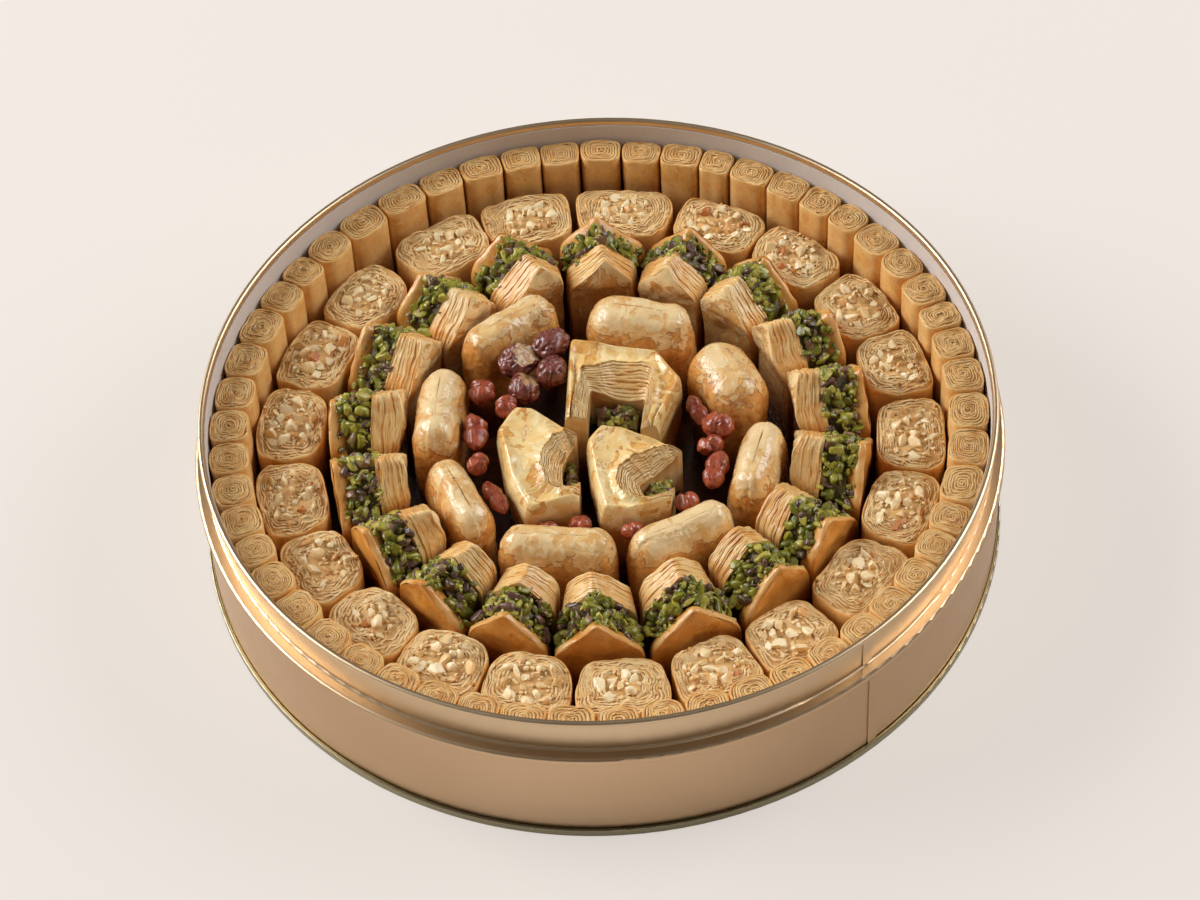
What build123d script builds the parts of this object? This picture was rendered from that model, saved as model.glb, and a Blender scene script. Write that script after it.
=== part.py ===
from build123d import *
import math
import os

# Round tin of assorted baklava, millimetres, +Z up, the front is -Y.
# The origin is the middle of the footprint, on the surface that the tin stands on.

# Tin
RIM_RADIUS = 140.0          # outside of the curled rim
TIN_HEIGHT = 60.1           # standing plane to the top of the curl
SHEET = 0.3                 # tinplate thickness
CURL_TUBE = 1.05            # outer radius of the rolled rim
CURL_SWEEP = 290.0          # how far the rim is rolled round, degrees
NECK_DEPTH = 16.7           # top of the curl down to the shoulder
BEAD_PROUD = 2.8            # bead outside the rim
BEAD_HEIGHT = 2.4           # upright band of the bead
BEAD_TUCK = 1.2             # slope under the bead
WALL_PROUD = 1.6            # body wall outside the rim
SHOULDER_FILLET = 1.0
BEAD_FILLET = 0.5
SEAM_HEIGHT = 3.2           # double seam at the base
SEAM_GAP = 0.15             # play between the folded sheets of the double seam
SEAM_BEND = 0.2             # bend radius of the folded sheets
PANEL_RISE = 2.7            # the bottom panel lies this far above the standing plane
HOOK_LENGTH = 1.8           # upright length of the two hooks of the double seam
LAP_ANGLE = 307.5           # where the wall is locked to itself
LAP_WIDTH = 4.0
LAP_PROUD = 0.45
LAP_MARGIN = 0.2            # the raised lap stops this far from the seam, the bead and the curl

# Paper liner
LINER_THICKNESS = 0.3
LINER_PLAY = 0.1            # liner to neck
LINER_BELOW_RIM = 2.5

# Clearances between loose pieces
PASTRY_GAP = 0.3
RING_GAP = 0.4

# Finger rolls, on end against the liner
FINGER_DEPTH = 13.0         # mean radial size
FINGER_SWING = 1.4          # deeper at the left and right by this much, shallower at front and back
FINGER_BELOW_RIM = 8.9
FINGER_EDGES = [            # where each roll starts, degrees counter-clockwise from +X
    0.5, 7.5, 14, 19.5, 26, 32.7, 39.5, 45.5, 51.5, 58, 65, 70.3, 77, 83.5,
    90.3, 96.8, 103.3, 110.3, 117.3, 125, 132.8, 140, 146, 152.5, 160, 167, 174,
    180.7, 187, 193.7, 200, 206, 213, 220, 227, 233.5, 240, 246.5, 253, 260, 267,
    273.5, 280, 286.7, 293.5, 300, 306.5, 313, 319.5, 326, 332, 338, 345.5, 353,
]
FINGER_GROUPS = {           # node name to the middle of its quarter, degrees
    "finger_rolls_right": 0.0,
    "finger_rolls_back": 90.0,
    "finger_rolls_left": 180.0,
    "finger_rolls_front": 270.0,
}

# Cashew rolls, on end inside the finger rolls
CASHEW_DEPTH = 24.6
CASHEW_BELOW_RIM = 20.0
CASHEW_ANGLES = [
    13.4, 29.4, 46.8, 63.8, 82.6, 101.4, 118.8, 138.2, 155, 172.5, 190.2,
    207.3, 223.5, 239.2, 255, 271.4, 287.8, 303, 321, 338.8, 356,
]

# Pistachio squares, standing on a corner, layers across the radius
PHYLLO_SLAB = 11.5
FILLING_SLAB = 8.5
CRUST_SLAB = 6.5
ROOF_BELOW_RIM = 6.1        # upper corner of the squares below the rim
ROOF_SLOPE = 45.0
PISTACHIO_RIDGES = [        # direction from the middle, and how far the ridge is turned off it
    (8.3, -5), (27.2, -13), (47.6, -2), (66.7, -4), (86.7, 8), (107, 16), (129, 12), (149, 4),
    (170.8, 12), (191.4, -10), (211.5, -13), (229.8, -11), (248.1, -2), (266.6, 4), (287.8, -2),
    (307.9, 2), (325.2, -9), (346.3, 0),
]
WIDEST_PITCH = 22.5         # no two ridges lie further apart than this, degrees

# Middle of the tin: places and outlines are drawn for a room of this radius inside the
# pistachio ring, and are cut to the room that there is
DRAWN_ROOM = 68.6
PILLOW_BELOW_RIM = 6.8
PILLOW_ROUNDING = 0.46      # corner radius as a share of the width
PILLOW_CROWN = 6.0          # rounding of the upper edge
PILLOWS = {                 # x, y, direction of the long axis, length, width
    "pillow_roll_1": (17.5, 48.5, -14, 41, 22),
    "pillow_roll_2": (47.0, 19.0, 112, 36, 25),
    "pillow_roll_3": (54.5, -20.5, 72, 37, 17.5),
    "pillow_roll_4": (26.0, -51.6, 25, 41, 18),
    "pillow_roll_5": (-16.5, -53.5, -8, 43, 19),
    "pillow_roll_6": (-49.7, -29.3, 113, 37, 17),
    "pillow_roll_7": (-56.3, 11.5, 82, 39, 18.5),
    "pillow_roll_8": (-30.0, 48.3, 36, 41, 18.5),
}
POUCH_BELOW_RIM = 7.5
POUCH_EDGE = 1.5            # rounding of the upper edge
POUCH_CORNER = 1.2          # rounding of the upright corners
FILL_BELOW_POUCH = 10.0
POUCHES = {                 # outline of the folded sheets
    "pouch_back": [(-13, 1), (-9, 38.5), (2, 36.5), (23, 31.5), (32, 17), (22, -5),
                   (14.5, -7), (17, 11), (-2, 14), (-4, -1)],
    "pouch_left": [(-37.5, -1), (-31, 8), (-25, 7), (-7.5, -7), (-13.5, -19), (-13.5, -26),
                   (-7.5, -28), (-8.5, -38), (-28, -40), (-34.5, -25)],
    "pouch_right": [(-6, -9), (-1, -2.5), (5, -4), (29, -17), (24, -22), (13, -29),
                    (15, -34), (25, -33), (23, -39), (6, -44.5), (-2.5, -42), (-5, -26)],
}
FILLINGS = {                # outline of the nut filling held in each fold
    "pouch_back_filling": [(-1, 3), (14, 0), (15.8, 10), (-1, 12.8)],
    "pouch_left_filling": [(-12.5, -19.5), (-8.8, -12.5), (-8.2, -27), (-12.5, -25.5)],
    "pouch_right_filling": [(23.5, -23), (14.2, -29.2), (15.8, -33), (25, -31.8)],
}

# Loose nuts: x, y, direction, length, width, top below the rim
WALNUTS = [
    (-15.5, 38.0, 36, 13, 9.8, 8), (-27.6, 31.5, 25, 13, 10.5, 8.5),
    (-15.7, 26.5, 80, 10.6, 9.6, 10), (-25.5, 20.9, 80, 11, 9, 12),
]
PEANUTS = [
    (-40.8, 20.3, 80, 10, 9, 12), (-32.3, 12.3, 90, 8, 7.6, 12), (-43.4, 2.0, 90, 15, 8.4, 12),
    (-43.0, -12, 60, 8, 7, 14), (-37.3, -28.0, 114, 15, 6.2, 14), (-20, -41.3, -4, 7, 3.2, 17),
    (-8.5, -41.4, -10, 7.5, 5.4, 15), (9.3, -46.6, 20, 7.5, 5, 14), (29.0, -35.9, 15, 8, 6.4, 13),
    (39.9, -22.5, 70, 15, 8, 12), (38.8, -10.9, 20, 9, 7, 13), (42.0, -2.6, -20, 11, 9.2, 11),
    (34.9, 6.5, 112, 13, 6.2, 14),
]

# Values that follow from the ones above
SHEET_MID = SHEET / 2
CURL_MID = CURL_TUBE - SHEET_MID
CURL_CENTRE = RIM_RADIUS - CURL_TUBE
CURL_HEIGHT = TIN_HEIGHT - CURL_TUBE
NECK_MID = CURL_CENTRE - CURL_MID
WALL_MID = RIM_RADIUS + WALL_PROUD - SHEET_MID
SHOULDER_Z = TIN_HEIGHT - NECK_DEPTH
FOLD = SHEET + SEAM_GAP
FLOOR_Z = PANEL_RISE + SHEET
STAND_Z = FLOOR_Z + PASTRY_GAP
LINER_OUTER = NECK_MID - SHEET_MID - LINER_PLAY
LINER_INNER = LINER_OUTER - LINER_THICKNESS
FINGER_LIMIT = LINER_INNER - PASTRY_GAP
FINGER_INNER = FINGER_LIMIT - FINGER_DEPTH - FINGER_SWING
CASHEW_INNER = FINGER_INNER - RING_GAP - CASHEW_DEPTH
PISTACHIO_LIMIT = CASHEW_INNER - RING_GAP
SLABS = [("phyllo", PHYLLO_SLAB), ("filling", FILLING_SLAB), ("crust", CRUST_SLAB)]
SLAB_DEPTH = PHYLLO_SLAB + FILLING_SLAB + CRUST_SLAB
ROOM = PISTACHIO_LIMIT * math.cos(math.radians(WIDEST_PITCH / 2)) - SLAB_DEPTH - RING_GAP
PLAN_SCALE = ROOM / DRAWN_ROOM


def solids_of(shape):
    return list(shape.solids())


def write(name, solids):
    part = Compound(label=name, children=solids)
    export_step(part, f"parts/{name}.step")


def revolved_sheet(wire):
    band = offset(wire, amount=SHEET_MID, side=Side.BOTH, kind=Kind.INTERSECTION)
    return revolve(make_face(Plane.XZ * band), Axis.Z)


def tin_wall():
    bead = RIM_RADIUS + BEAD_PROUD - SHEET_MID
    hook = SHEET_MID + FOLD
    curl = CenterArc((CURL_CENTRE, CURL_HEIGHT), CURL_MID, 180 - CURL_SWEEP, CURL_SWEEP)
    profile = FilletPolyline(
        (NECK_MID, CURL_HEIGHT),
        (NECK_MID, SHOULDER_Z),
        (bead, SHOULDER_Z),
        (bead, SHOULDER_Z - BEAD_HEIGHT),
        (WALL_MID, SHOULDER_Z - BEAD_HEIGHT - BEAD_TUCK),
        (WALL_MID, hook),
        (WALL_MID + 2 * FOLD, hook),
        (WALL_MID + 2 * FOLD, hook + HOOK_LENGTH),
        radius=[SHOULDER_FILLET, SHOULDER_FILLET, BEAD_FILLET, BEAD_FILLET, SEAM_BEND, SEAM_BEND],
    )
    return revolved_sheet(Wire(curl.edges() + profile.edges()))


def lap_strip(inner, bottom, top):
    outer = inner + SHEET_MID + LAP_PROUD
    sweep = math.degrees(LAP_WIDTH / outer)
    strip = make_face(Plane.XZ * Polyline(
        (inner, bottom), (outer, bottom), (outer, top), (inner, top), close=True))
    return Rot(0, 0, LAP_ANGLE - sweep / 2) * revolve(strip, Axis.Z, revolution_arc=sweep)


def bottom_end():
    panel_z = PANEL_RISE + SHEET_MID
    profile = FilletPolyline(
        (0, panel_z),
        (WALL_MID - FOLD, panel_z),
        (WALL_MID - FOLD, SHEET_MID),
        (WALL_MID + 3 * FOLD, SHEET_MID),
        (WALL_MID + 3 * FOLD, SEAM_HEIGHT - SHEET_MID),
        (WALL_MID + FOLD, SEAM_HEIGHT - SHEET_MID),
        (WALL_MID + FOLD, SEAM_HEIGHT - SHEET_MID - HOOK_LENGTH),
        radius=SEAM_BEND,
    )
    return revolved_sheet(Wire(profile.edges()))


def locked_wall():
    body_top = SHOULDER_Z - BEAD_HEIGHT - BEAD_TUCK - LAP_MARGIN
    body_lap = lap_strip(WALL_MID, SEAM_HEIGHT + LAP_MARGIN, body_top)
    neck_top = CURL_HEIGHT - CURL_TUBE - LAP_MARGIN
    neck_lap = lap_strip(NECK_MID, SHOULDER_Z + SHOULDER_FILLET, neck_top)
    return tin_wall() + body_lap + neck_lap


def paper_liner():
    top = TIN_HEIGHT - LINER_BELOW_RIM
    band = make_face(Plane.XZ * Polyline(
        (LINER_INNER, STAND_Z), (LINER_OUTER, STAND_Z),
        (LINER_OUTER, top), (LINER_INNER, top), close=True))
    return revolve(band, Axis.Z)


def polar(radius, angle):
    return radius * math.cos(math.radians(angle)), radius * math.sin(math.radians(angle))


def gaps_after(angles):
    following = angles[1:] + [angles[0] + 360]
    return [second - first for first, second in zip(angles, following)]


def roll_half_width(centre_radius, half_depth, half_pitch):
    # widest ellipse that keeps half a gap from both sides of its wedge
    sine = math.sin(math.radians(half_pitch))
    reach = centre_radius * sine - PASTRY_GAP / 2
    return math.sqrt(reach ** 2 - (half_depth * sine) ** 2) / math.cos(math.radians(half_pitch))


def standing_roll(centre_radius, half_depth, half_pitch, angle, below_rim):
    half_width = roll_half_width(centre_radius, half_depth, half_pitch)
    outline = Ellipse(half_depth, half_width)
    x, y = polar(centre_radius, angle)
    return Pos(x, y, STAND_Z) * Rot(0, 0, angle) * extrude(outline, TIN_HEIGHT - below_rim - STAND_Z)


def finger_roll(start, pitch):
    angle = start + pitch / 2
    depth = FINGER_DEPTH + FINGER_SWING * math.cos(math.radians(2 * angle))
    return standing_roll(FINGER_LIMIT - depth / 2, depth / 2, pitch / 2, angle, FINGER_BELOW_RIM)


def finger_groups():
    groups = {name: [] for name in FINGER_GROUPS}
    for start, pitch in zip(FINGER_EDGES, gaps_after(FINGER_EDGES)):
        middle = start + pitch / 2
        for name, quarter in FINGER_GROUPS.items():
            away = (middle - quarter + 180) % 360 - 180
            if -45 <= away < 45:
                groups[name].append(finger_roll(start, pitch))
    return groups


def cashew_rolls():
    after = gaps_after(CASHEW_ANGLES)
    before = after[-1:] + after[:-1]
    radius = FINGER_INNER - RING_GAP - CASHEW_DEPTH / 2
    return [
        standing_roll(radius, CASHEW_DEPTH / 2, min(left, right) / 2, angle, CASHEW_BELOW_RIM)
        for angle, left, right in zip(CASHEW_ANGLES, after, before)
    ]


def wedge(start, end, inner_face):
    corners = []
    for radius in (inner_face / math.cos(math.radians((end - start) / 2)), PISTACHIO_LIMIT):
        trim = math.degrees(PASTRY_GAP / 2 / radius)
        corners.append((polar(radius, start + trim), polar(radius, end - trim)))
    inner, outer = corners
    outline = make_face(Polyline(inner[0], outer[0], outer[1], inner[1], close=True))
    return Pos(0, 0, STAND_Z) * extrude(outline, TIN_HEIGHT - STAND_Z)


def roof_prism(angle, turn, near, far):
    ridge_z = TIN_HEIGHT - ROOF_BELOW_RIM
    half = (ridge_z - STAND_Z) / math.tan(math.radians(ROOF_SLOPE))
    gable = make_face(Plane.YZ * Polyline((-half, STAND_Z), (half, STAND_Z), (0, ridge_z), close=True))
    x, y = polar(ROOM + RING_GAP + SLAB_DEPTH / 2, angle)
    slab = Pos(near, 0, 0) * extrude(gable, far - near)
    return Pos(x, y, 0) * Rot(0, 0, angle + turn) * slab


def pistachio_squares():
    angles = [angle for angle, turn in PISTACHIO_RIDGES]
    after = gaps_after(angles)
    before = after[-1:] + after[:-1]
    layers = {name: [] for name, thickness in SLABS}
    for (angle, turn), left, right in zip(PISTACHIO_RIDGES, after, before):
        block = wedge(angle - right / 2, angle + left / 2, ROOM + RING_GAP)
        first = -SLAB_DEPTH / 2 + PHYLLO_SLAB
        cuts = [-SLAB_DEPTH, first, first + FILLING_SLAB, SLAB_DEPTH]
        for index, (name, thickness) in enumerate(SLABS):
            layers[name] += solids_of(block & roof_prism(angle, turn, cuts[index], cuts[index + 1]))
    return layers


def pillow_roll(x, y, direction, length, width):
    length, width = length * PLAN_SCALE, width * PLAN_SCALE
    outline = RectangleRounded(length, width, width * PILLOW_ROUNDING)
    roll = extrude(outline, TIN_HEIGHT - PILLOW_BELOW_RIM - STAND_Z)
    roll = fillet(roll.edges().group_by(Axis.Z)[-1], PILLOW_CROWN)
    return Pos(x * PLAN_SCALE, y * PLAN_SCALE, STAND_Z) * Rot(0, 0, direction) * roll


def scaled(points):
    return [(x * PLAN_SCALE, y * PLAN_SCALE) for x, y in points]


def folded_pouch(points):
    outline = make_face(Polyline(*scaled(points), close=True))
    outline = fillet(outline.vertices(), POUCH_CORNER)
    stack = Pos(0, 0, STAND_Z) * extrude(outline, TIN_HEIGHT - POUCH_BELOW_RIM - STAND_Z)
    return fillet(stack.edges().group_by(Axis.Z)[-1], POUCH_EDGE)


def pouch_filling(points):
    outline = make_face(Polyline(*scaled(points), close=True))
    height = TIN_HEIGHT - POUCH_BELOW_RIM - FILL_BELOW_POUCH - STAND_Z
    return Pos(0, 0, STAND_Z) * extrude(outline, height)


def nut(x, y, direction, length, width, below_rim):
    # ellipse turned about its long axis, lying down
    length, width = length * PLAN_SCALE, width * PLAN_SCALE
    upper = Ellipse(length / 2, width / 2) & Pos(0, width / 2) * Rectangle(length, width)
    body = revolve(upper, Axis.X)
    place = Pos(x * PLAN_SCALE, y * PLAN_SCALE, TIN_HEIGHT - below_rim - width / 2)
    return place * Rot(0, 0, direction) * body


def build():
    os.makedirs("parts", exist_ok=True)
    write("tin_wall", solids_of(locked_wall()))
    write("bottom_end", solids_of(bottom_end()))
    write("paper_liner", solids_of(paper_liner()))
    for name, rolls in finger_groups().items():
        write(name, rolls)
    for number, roll in enumerate(cashew_rolls(), start=1):
        write(f"cashew_roll_{number:02d}", [roll])
    for name, slabs in pistachio_squares().items():
        write(f"pistachio_{name}", slabs)
    for name, place in PILLOWS.items():
        write(name, [pillow_roll(*place)])
    for name, points in POUCHES.items():
        write(name, solids_of(folded_pouch(points)))
    for name, points in FILLINGS.items():
        write(name, solids_of(pouch_filling(points)))
    write("walnuts", [nut(*place) for place in WALNUTS])
    write("peanuts", [nut(*place) for place in PEANUTS])


if __name__ == "__main__":
    build()
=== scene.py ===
import math

import bmesh
import bpy
import numpy as np
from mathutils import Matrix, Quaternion, Vector


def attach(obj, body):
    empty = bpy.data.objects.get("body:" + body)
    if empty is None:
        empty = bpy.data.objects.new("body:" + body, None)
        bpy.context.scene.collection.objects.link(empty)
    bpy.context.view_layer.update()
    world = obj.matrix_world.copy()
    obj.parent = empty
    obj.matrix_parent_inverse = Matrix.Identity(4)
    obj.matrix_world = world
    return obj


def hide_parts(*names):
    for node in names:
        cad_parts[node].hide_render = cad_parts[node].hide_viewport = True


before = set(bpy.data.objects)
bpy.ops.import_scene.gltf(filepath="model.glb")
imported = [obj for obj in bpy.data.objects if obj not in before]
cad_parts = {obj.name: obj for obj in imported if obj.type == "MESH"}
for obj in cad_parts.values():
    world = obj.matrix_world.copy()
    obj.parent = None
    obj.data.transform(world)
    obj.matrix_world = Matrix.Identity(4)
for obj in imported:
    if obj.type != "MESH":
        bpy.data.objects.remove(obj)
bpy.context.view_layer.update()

# Sizes in millimetres, as in the CAD model
TIN_HEIGHT = 60.1
FLOOR = 3.3
FINGER_LIMIT = 137.2
FINGER_DEPTH = 13.0
FINGER_SWING = 1.4
FINGER_TOP = TIN_HEIGHT - 8.9
FINGER_EDGES = [
    0.5, 7.5, 14, 19.5, 26, 32.7, 39.5, 45.5, 51.5, 58, 65, 70.3, 77, 83.5,
    90.3, 96.8, 103.3, 110.3, 117.3, 125, 132.8, 140, 146, 152.5, 160, 167, 174,
    180.7, 187, 193.7, 200, 206, 213, 220, 227, 233.5, 240, 246.5, 253, 260, 267,
    273.5, 280, 286.7, 293.5, 300, 306.5, 313, 319.5, 326, 332, 338, 345.5, 353,
]
FINGER_QUARTERS = {
    "finger_rolls_right": 0, "finger_rolls_back": 90,
    "finger_rolls_left": 180, "finger_rolls_front": 270,
}
CASHEW_CENTRE = 110.1
CASHEW_DEPTH = 24.6
CASHEW_TOP = TIN_HEIGHT - 20
CASHEW_ANGLES = [
    13.4, 29.4, 46.8, 63.8, 82.6, 101.4, 118.8, 138.2, 155, 172.5, 190.2,
    207.3, 223.5, 239.2, 255, 271.4, 287.8, 303, 321, 338.8, 356,
]
RIDGES = [
    (8.3, -5), (27.2, -13), (47.6, -2), (66.7, -4), (86.7, 8), (107, 16), (129, 12), (149, 4),
    (170.8, 12), (191.4, -10), (211.5, -13), (229.8, -11), (248.1, -2), (266.6, 4), (287.8, -2),
    (307.9, 2), (325.2, -9), (346.3, 0),
]
RIDGE_TOP = TIN_HEIGHT - 6.1
SQUARE_INNER = 69.0
PHYLLO, FILLING, CRUST = 11.5, 8.5, 6.5
PILLOW_TOP = TIN_HEIGHT - 6.8
PILLOWS = {
    "pillow_roll_1": (17.5, 48.5, -14, 41, 22),
    "pillow_roll_2": (47.0, 19.0, 112, 36, 25),
    "pillow_roll_3": (54.5, -20.5, 72, 37, 17.5),
    "pillow_roll_4": (26.0, -51.6, 25, 41, 18),
    "pillow_roll_5": (-16.5, -53.5, -8, 43, 19),
    "pillow_roll_6": (-49.7, -29.3, 113, 37, 17),
    "pillow_roll_7": (-56.3, 11.5, 82, 39, 18.5),
    "pillow_roll_8": (-30.0, 48.3, 36, 41, 18.5),
}
POUCH_TOP = TIN_HEIGHT - 7.5
FILL_TOP = POUCH_TOP - 10
POUCHES = {
    # outer side and inner side of the bent stack, both walked the same way round
    "pouch_back": (
        [(-13, 1), (-11, 20), (-9, 38.5), (2, 36.5), (23, 31.5), (32, 17), (22, -5)],
        [(-4, -1), (-3, 8), (-2, 14), (7, 12.6), (17, 11), (16, 3), (14.5, -7)]),
    "pouch_left": (
        [(-7.5, -7), (-25, 7), (-31, 8), (-37.5, -1), (-34.5, -25), (-28, -40), (-8.5, -38)],
        [(-8.6, -9.4), (-11, -14), (-13.2, -18.6), (-13.5, -22), (-13.5, -26), (-10, -27.5), (-7.5, -28)]),
    "pouch_right": (
        [(29, -17), (5, -4), (-1, -2.5), (-6, -9), (-5, -26), (-2.5, -42), (6, -44.5), (23, -39)],
        [(27, -19), (24, -22), (18, -26), (13, -29), (13.6, -31), (15, -34), (20, -33.5), (25, -33)]),
}
FILLINGS = {
    "pouch_back_filling": [(-1, 3), (14, 0), (15.8, 10), (-1, 12.8)],
    "pouch_left_filling": [(-12.5, -19.5), (-8.8, -12.5), (-8.2, -27), (-12.5, -25.5)],
    "pouch_right_filling": [(23.5, -23), (14.2, -29.2), (15.8, -33), (25, -31.8)],
}
WALNUTS = [
    (-15.5, 38.0, 36, 13, 9.8, 8), (-27.6, 31.5, 25, 13, 10.5, 8.5),
    (-15.7, 26.5, 80, 10.6, 9.6, 10), (-25.5, 20.9, 80, 11, 9, 12),
]
PEANUTS = [
    (-40.8, 20.3, 80, 10, 9, 12), (-32.3, 12.3, 90, 8, 7.6, 12), (-43.4, 2.0, 90, 15, 8.4, 12),
    (-43.0, -12, 60, 8, 7, 14), (-37.3, -28.0, 114, 15, 6.2, 14), (-20, -41.3, -4, 7, 3.2, 17),
    (-8.5, -41.4, -10, 7.5, 5.4, 15), (9.3, -46.6, 20, 7.5, 5, 14), (29.0, -35.9, 15, 8, 6.4, 13),
    (39.9, -22.5, 70, 15, 8, 12), (38.8, -10.9, 20, 9, 7, 13), (42.0, -2.6, -20, 11, 9.2, 11),
    (34.9, 6.5, 112, 13, 6.2, 14),
]

# Mesh helpers
MM = 0.001
CELLS = 24
LATTICE = np.random.default_rng(11).random((CELLS, CELLS, CELLS)) * 2 - 1
TURN = 2 * math.pi


def noise(points, size, seed=0.0):
    """Smooth noise from -1 to 1 with features of the given size in millimetres."""
    p = np.asarray(points, float) / size + seed * 5.37
    cell = np.floor(p).astype(int)
    f = p - cell
    f = f * f * (3 - 2 * f)
    total = 0.0
    for corner in range(8):
        step = np.array([corner & 1, (corner >> 1) & 1, corner >> 2])
        index = (cell + step) % CELLS
        weight = np.prod(np.where(step, f, 1 - f), axis=-1)
        total = total + weight * LATTICE[index[..., 0], index[..., 1], index[..., 2]]
    return total


def grid_quads(rows, cols, closed=True):
    r, c = np.meshgrid(np.arange(rows - 1), np.arange(cols if closed else cols - 1), indexing="ij")
    d = (c + 1) % cols
    corners = [r * cols + c, r * cols + d, (r + 1) * cols + d, (r + 1) * cols + c]
    return np.stack(corners, -1).reshape(-1, 4)


class Bag:
    """Collects the points (mm) and faces of one piece."""

    def __init__(self):
        self.points, self.faces, self.sizes, self.mats = [], [], [], []
        self.local, self.tone, self.count = [], [], 0

    def add(self, points, faces, mat=0, local=None, tone=0.5):
        points = np.asarray(points, float).reshape(-1, 3)
        faces = np.asarray(faces)
        self.points.append(points)
        self.faces.append((faces + self.count).ravel())
        self.sizes.append(np.full(len(faces), faces.shape[1]))
        self.mats.append(np.full(len(faces), mat))
        self.local.append(points if local is None else np.asarray(local, float).reshape(-1, 3))
        self.tone.append(np.broadcast_to(tone, len(points)))
        self.count += len(points)

    def loft(self, rings, mat=0, local=None, tone=0.5, closed=True, end=False):
        rings = np.asarray(rings, float)
        rows, cols = rings.shape[:2]
        self.add(rings, grid_quads(rows, cols, closed), mat, local, tone)
        if end:
            self.fan(rings[-1], mat, tone)

    def fan(self, ring, mat=0, tone=0.5):
        count = len(ring)
        points = np.vstack([ring, ring.mean(0)])
        index = np.arange(count)
        tris = np.stack([index, (index + 1) % count, np.full(count, count)], -1)
        self.add(points, tris, mat, None, tone if np.isscalar(tone) else 0.5)

    def object(self, name, materials, sharp=45.0):
        points = np.concatenate(self.points) * MM
        loops = np.concatenate(self.faces).astype(np.int32)
        sizes = np.concatenate(self.sizes).astype(np.int32)
        mesh = bpy.data.meshes.new(name)
        mesh.vertices.add(len(points))
        mesh.vertices.foreach_set("co", points.astype(np.float32).ravel())
        mesh.loops.add(len(loops))
        mesh.loops.foreach_set("vertex_index", loops)
        mesh.polygons.add(len(sizes))
        starts = np.concatenate([[0], np.cumsum(sizes)[:-1]]).astype(np.int32)
        mesh.polygons.foreach_set("loop_start", starts)
        mesh.polygons.foreach_set("material_index", np.concatenate(self.mats).astype(np.int32))
        mesh.polygons.foreach_set("use_smooth", np.ones(len(sizes), bool))
        local = mesh.attributes.new("local", "FLOAT_VECTOR", "POINT")
        local.data.foreach_set("vector", np.concatenate(self.local).astype(np.float32).ravel())
        tone = mesh.attributes.new("tone", "FLOAT", "POINT")
        tone.data.foreach_set("value", np.concatenate(self.tone).astype(np.float32))
        mesh.update()
        mesh.validate()
        if sharp:
            mesh.set_sharp_from_angle(angle=math.radians(sharp))
        for material in materials:
            mesh.materials.append(material)
        thing = bpy.data.objects.new(name, mesh)
        bpy.context.scene.collection.objects.link(thing)
        return thing


def put(thing, body, slot, *nodes):
    """Rides a piece on its body and lets it stand in for CAD nodes."""
    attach(thing, body)
    if nodes:
        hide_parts(*nodes)
    return thing


def ball(subdivisions):
    made = bmesh.new()
    bmesh.ops.create_icosphere(made, subdivisions=subdivisions, radius=1.0)
    points = np.array([v.co[:] for v in made.verts])
    faces = np.array([[v.index for v in f.verts] for f in made.faces])
    made.free()
    return points, faces


BALLS = {level: ball(level) for level in (2, 3, 5)}


def random_turn(rng):
    q = rng.normal(size=4)
    return np.array(Quaternion(q / np.linalg.norm(q)).to_matrix())


def chunk(bag, centre, size, rng, mat, tone, cuts=7, level=3, rough=0.05, deep=0.0):
    """A broken piece of nut: a ball cut by random planes, stretched, turned and roughened."""
    points, faces = BALLS[level]
    points = points.copy()
    for _ in range(cuts):
        normal = rng.normal(size=3)
        normal /= np.linalg.norm(normal)
        over = np.maximum(points @ normal - rng.uniform(0.5, 0.85) + deep, 0)
        points -= over[:, None] * normal * 0.92
    points *= 1 + rough * noise(points * 3, 1.0, rng.uniform(0, 50))[:, None]
    points = points * (np.asarray(size) / 2)
    points = points @ random_turn(rng).T + centre
    bag.add(points, faces, mat, None, tone)


def polar(radius, degrees):
    return radius * math.cos(math.radians(degrees)), radius * math.sin(math.radians(degrees))


def tangent(degrees):
    return math.tan(math.radians(degrees))


def turned(points, x, y, degrees):
    """Local points put at x, y and turned about Z."""
    c, s = polar(1.0, degrees)
    points = np.asarray(points, float)
    return np.stack([
        x + points[..., 0] * c - points[..., 1] * s,
        y + points[..., 0] * s + points[..., 1] * c,
        points[..., 2]], -1)


# Material helpers
def rgb(red, green, blue):
    """A colour as a screen shows it, turned into the linear values that shaders take."""
    out = []
    for value in (red, green, blue):
        v = value / 255
        out.append(v / 12.92 if v <= 0.04045 else ((v + 0.055) / 1.055) ** 2.4)
    return (*out, 1.0)


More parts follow.
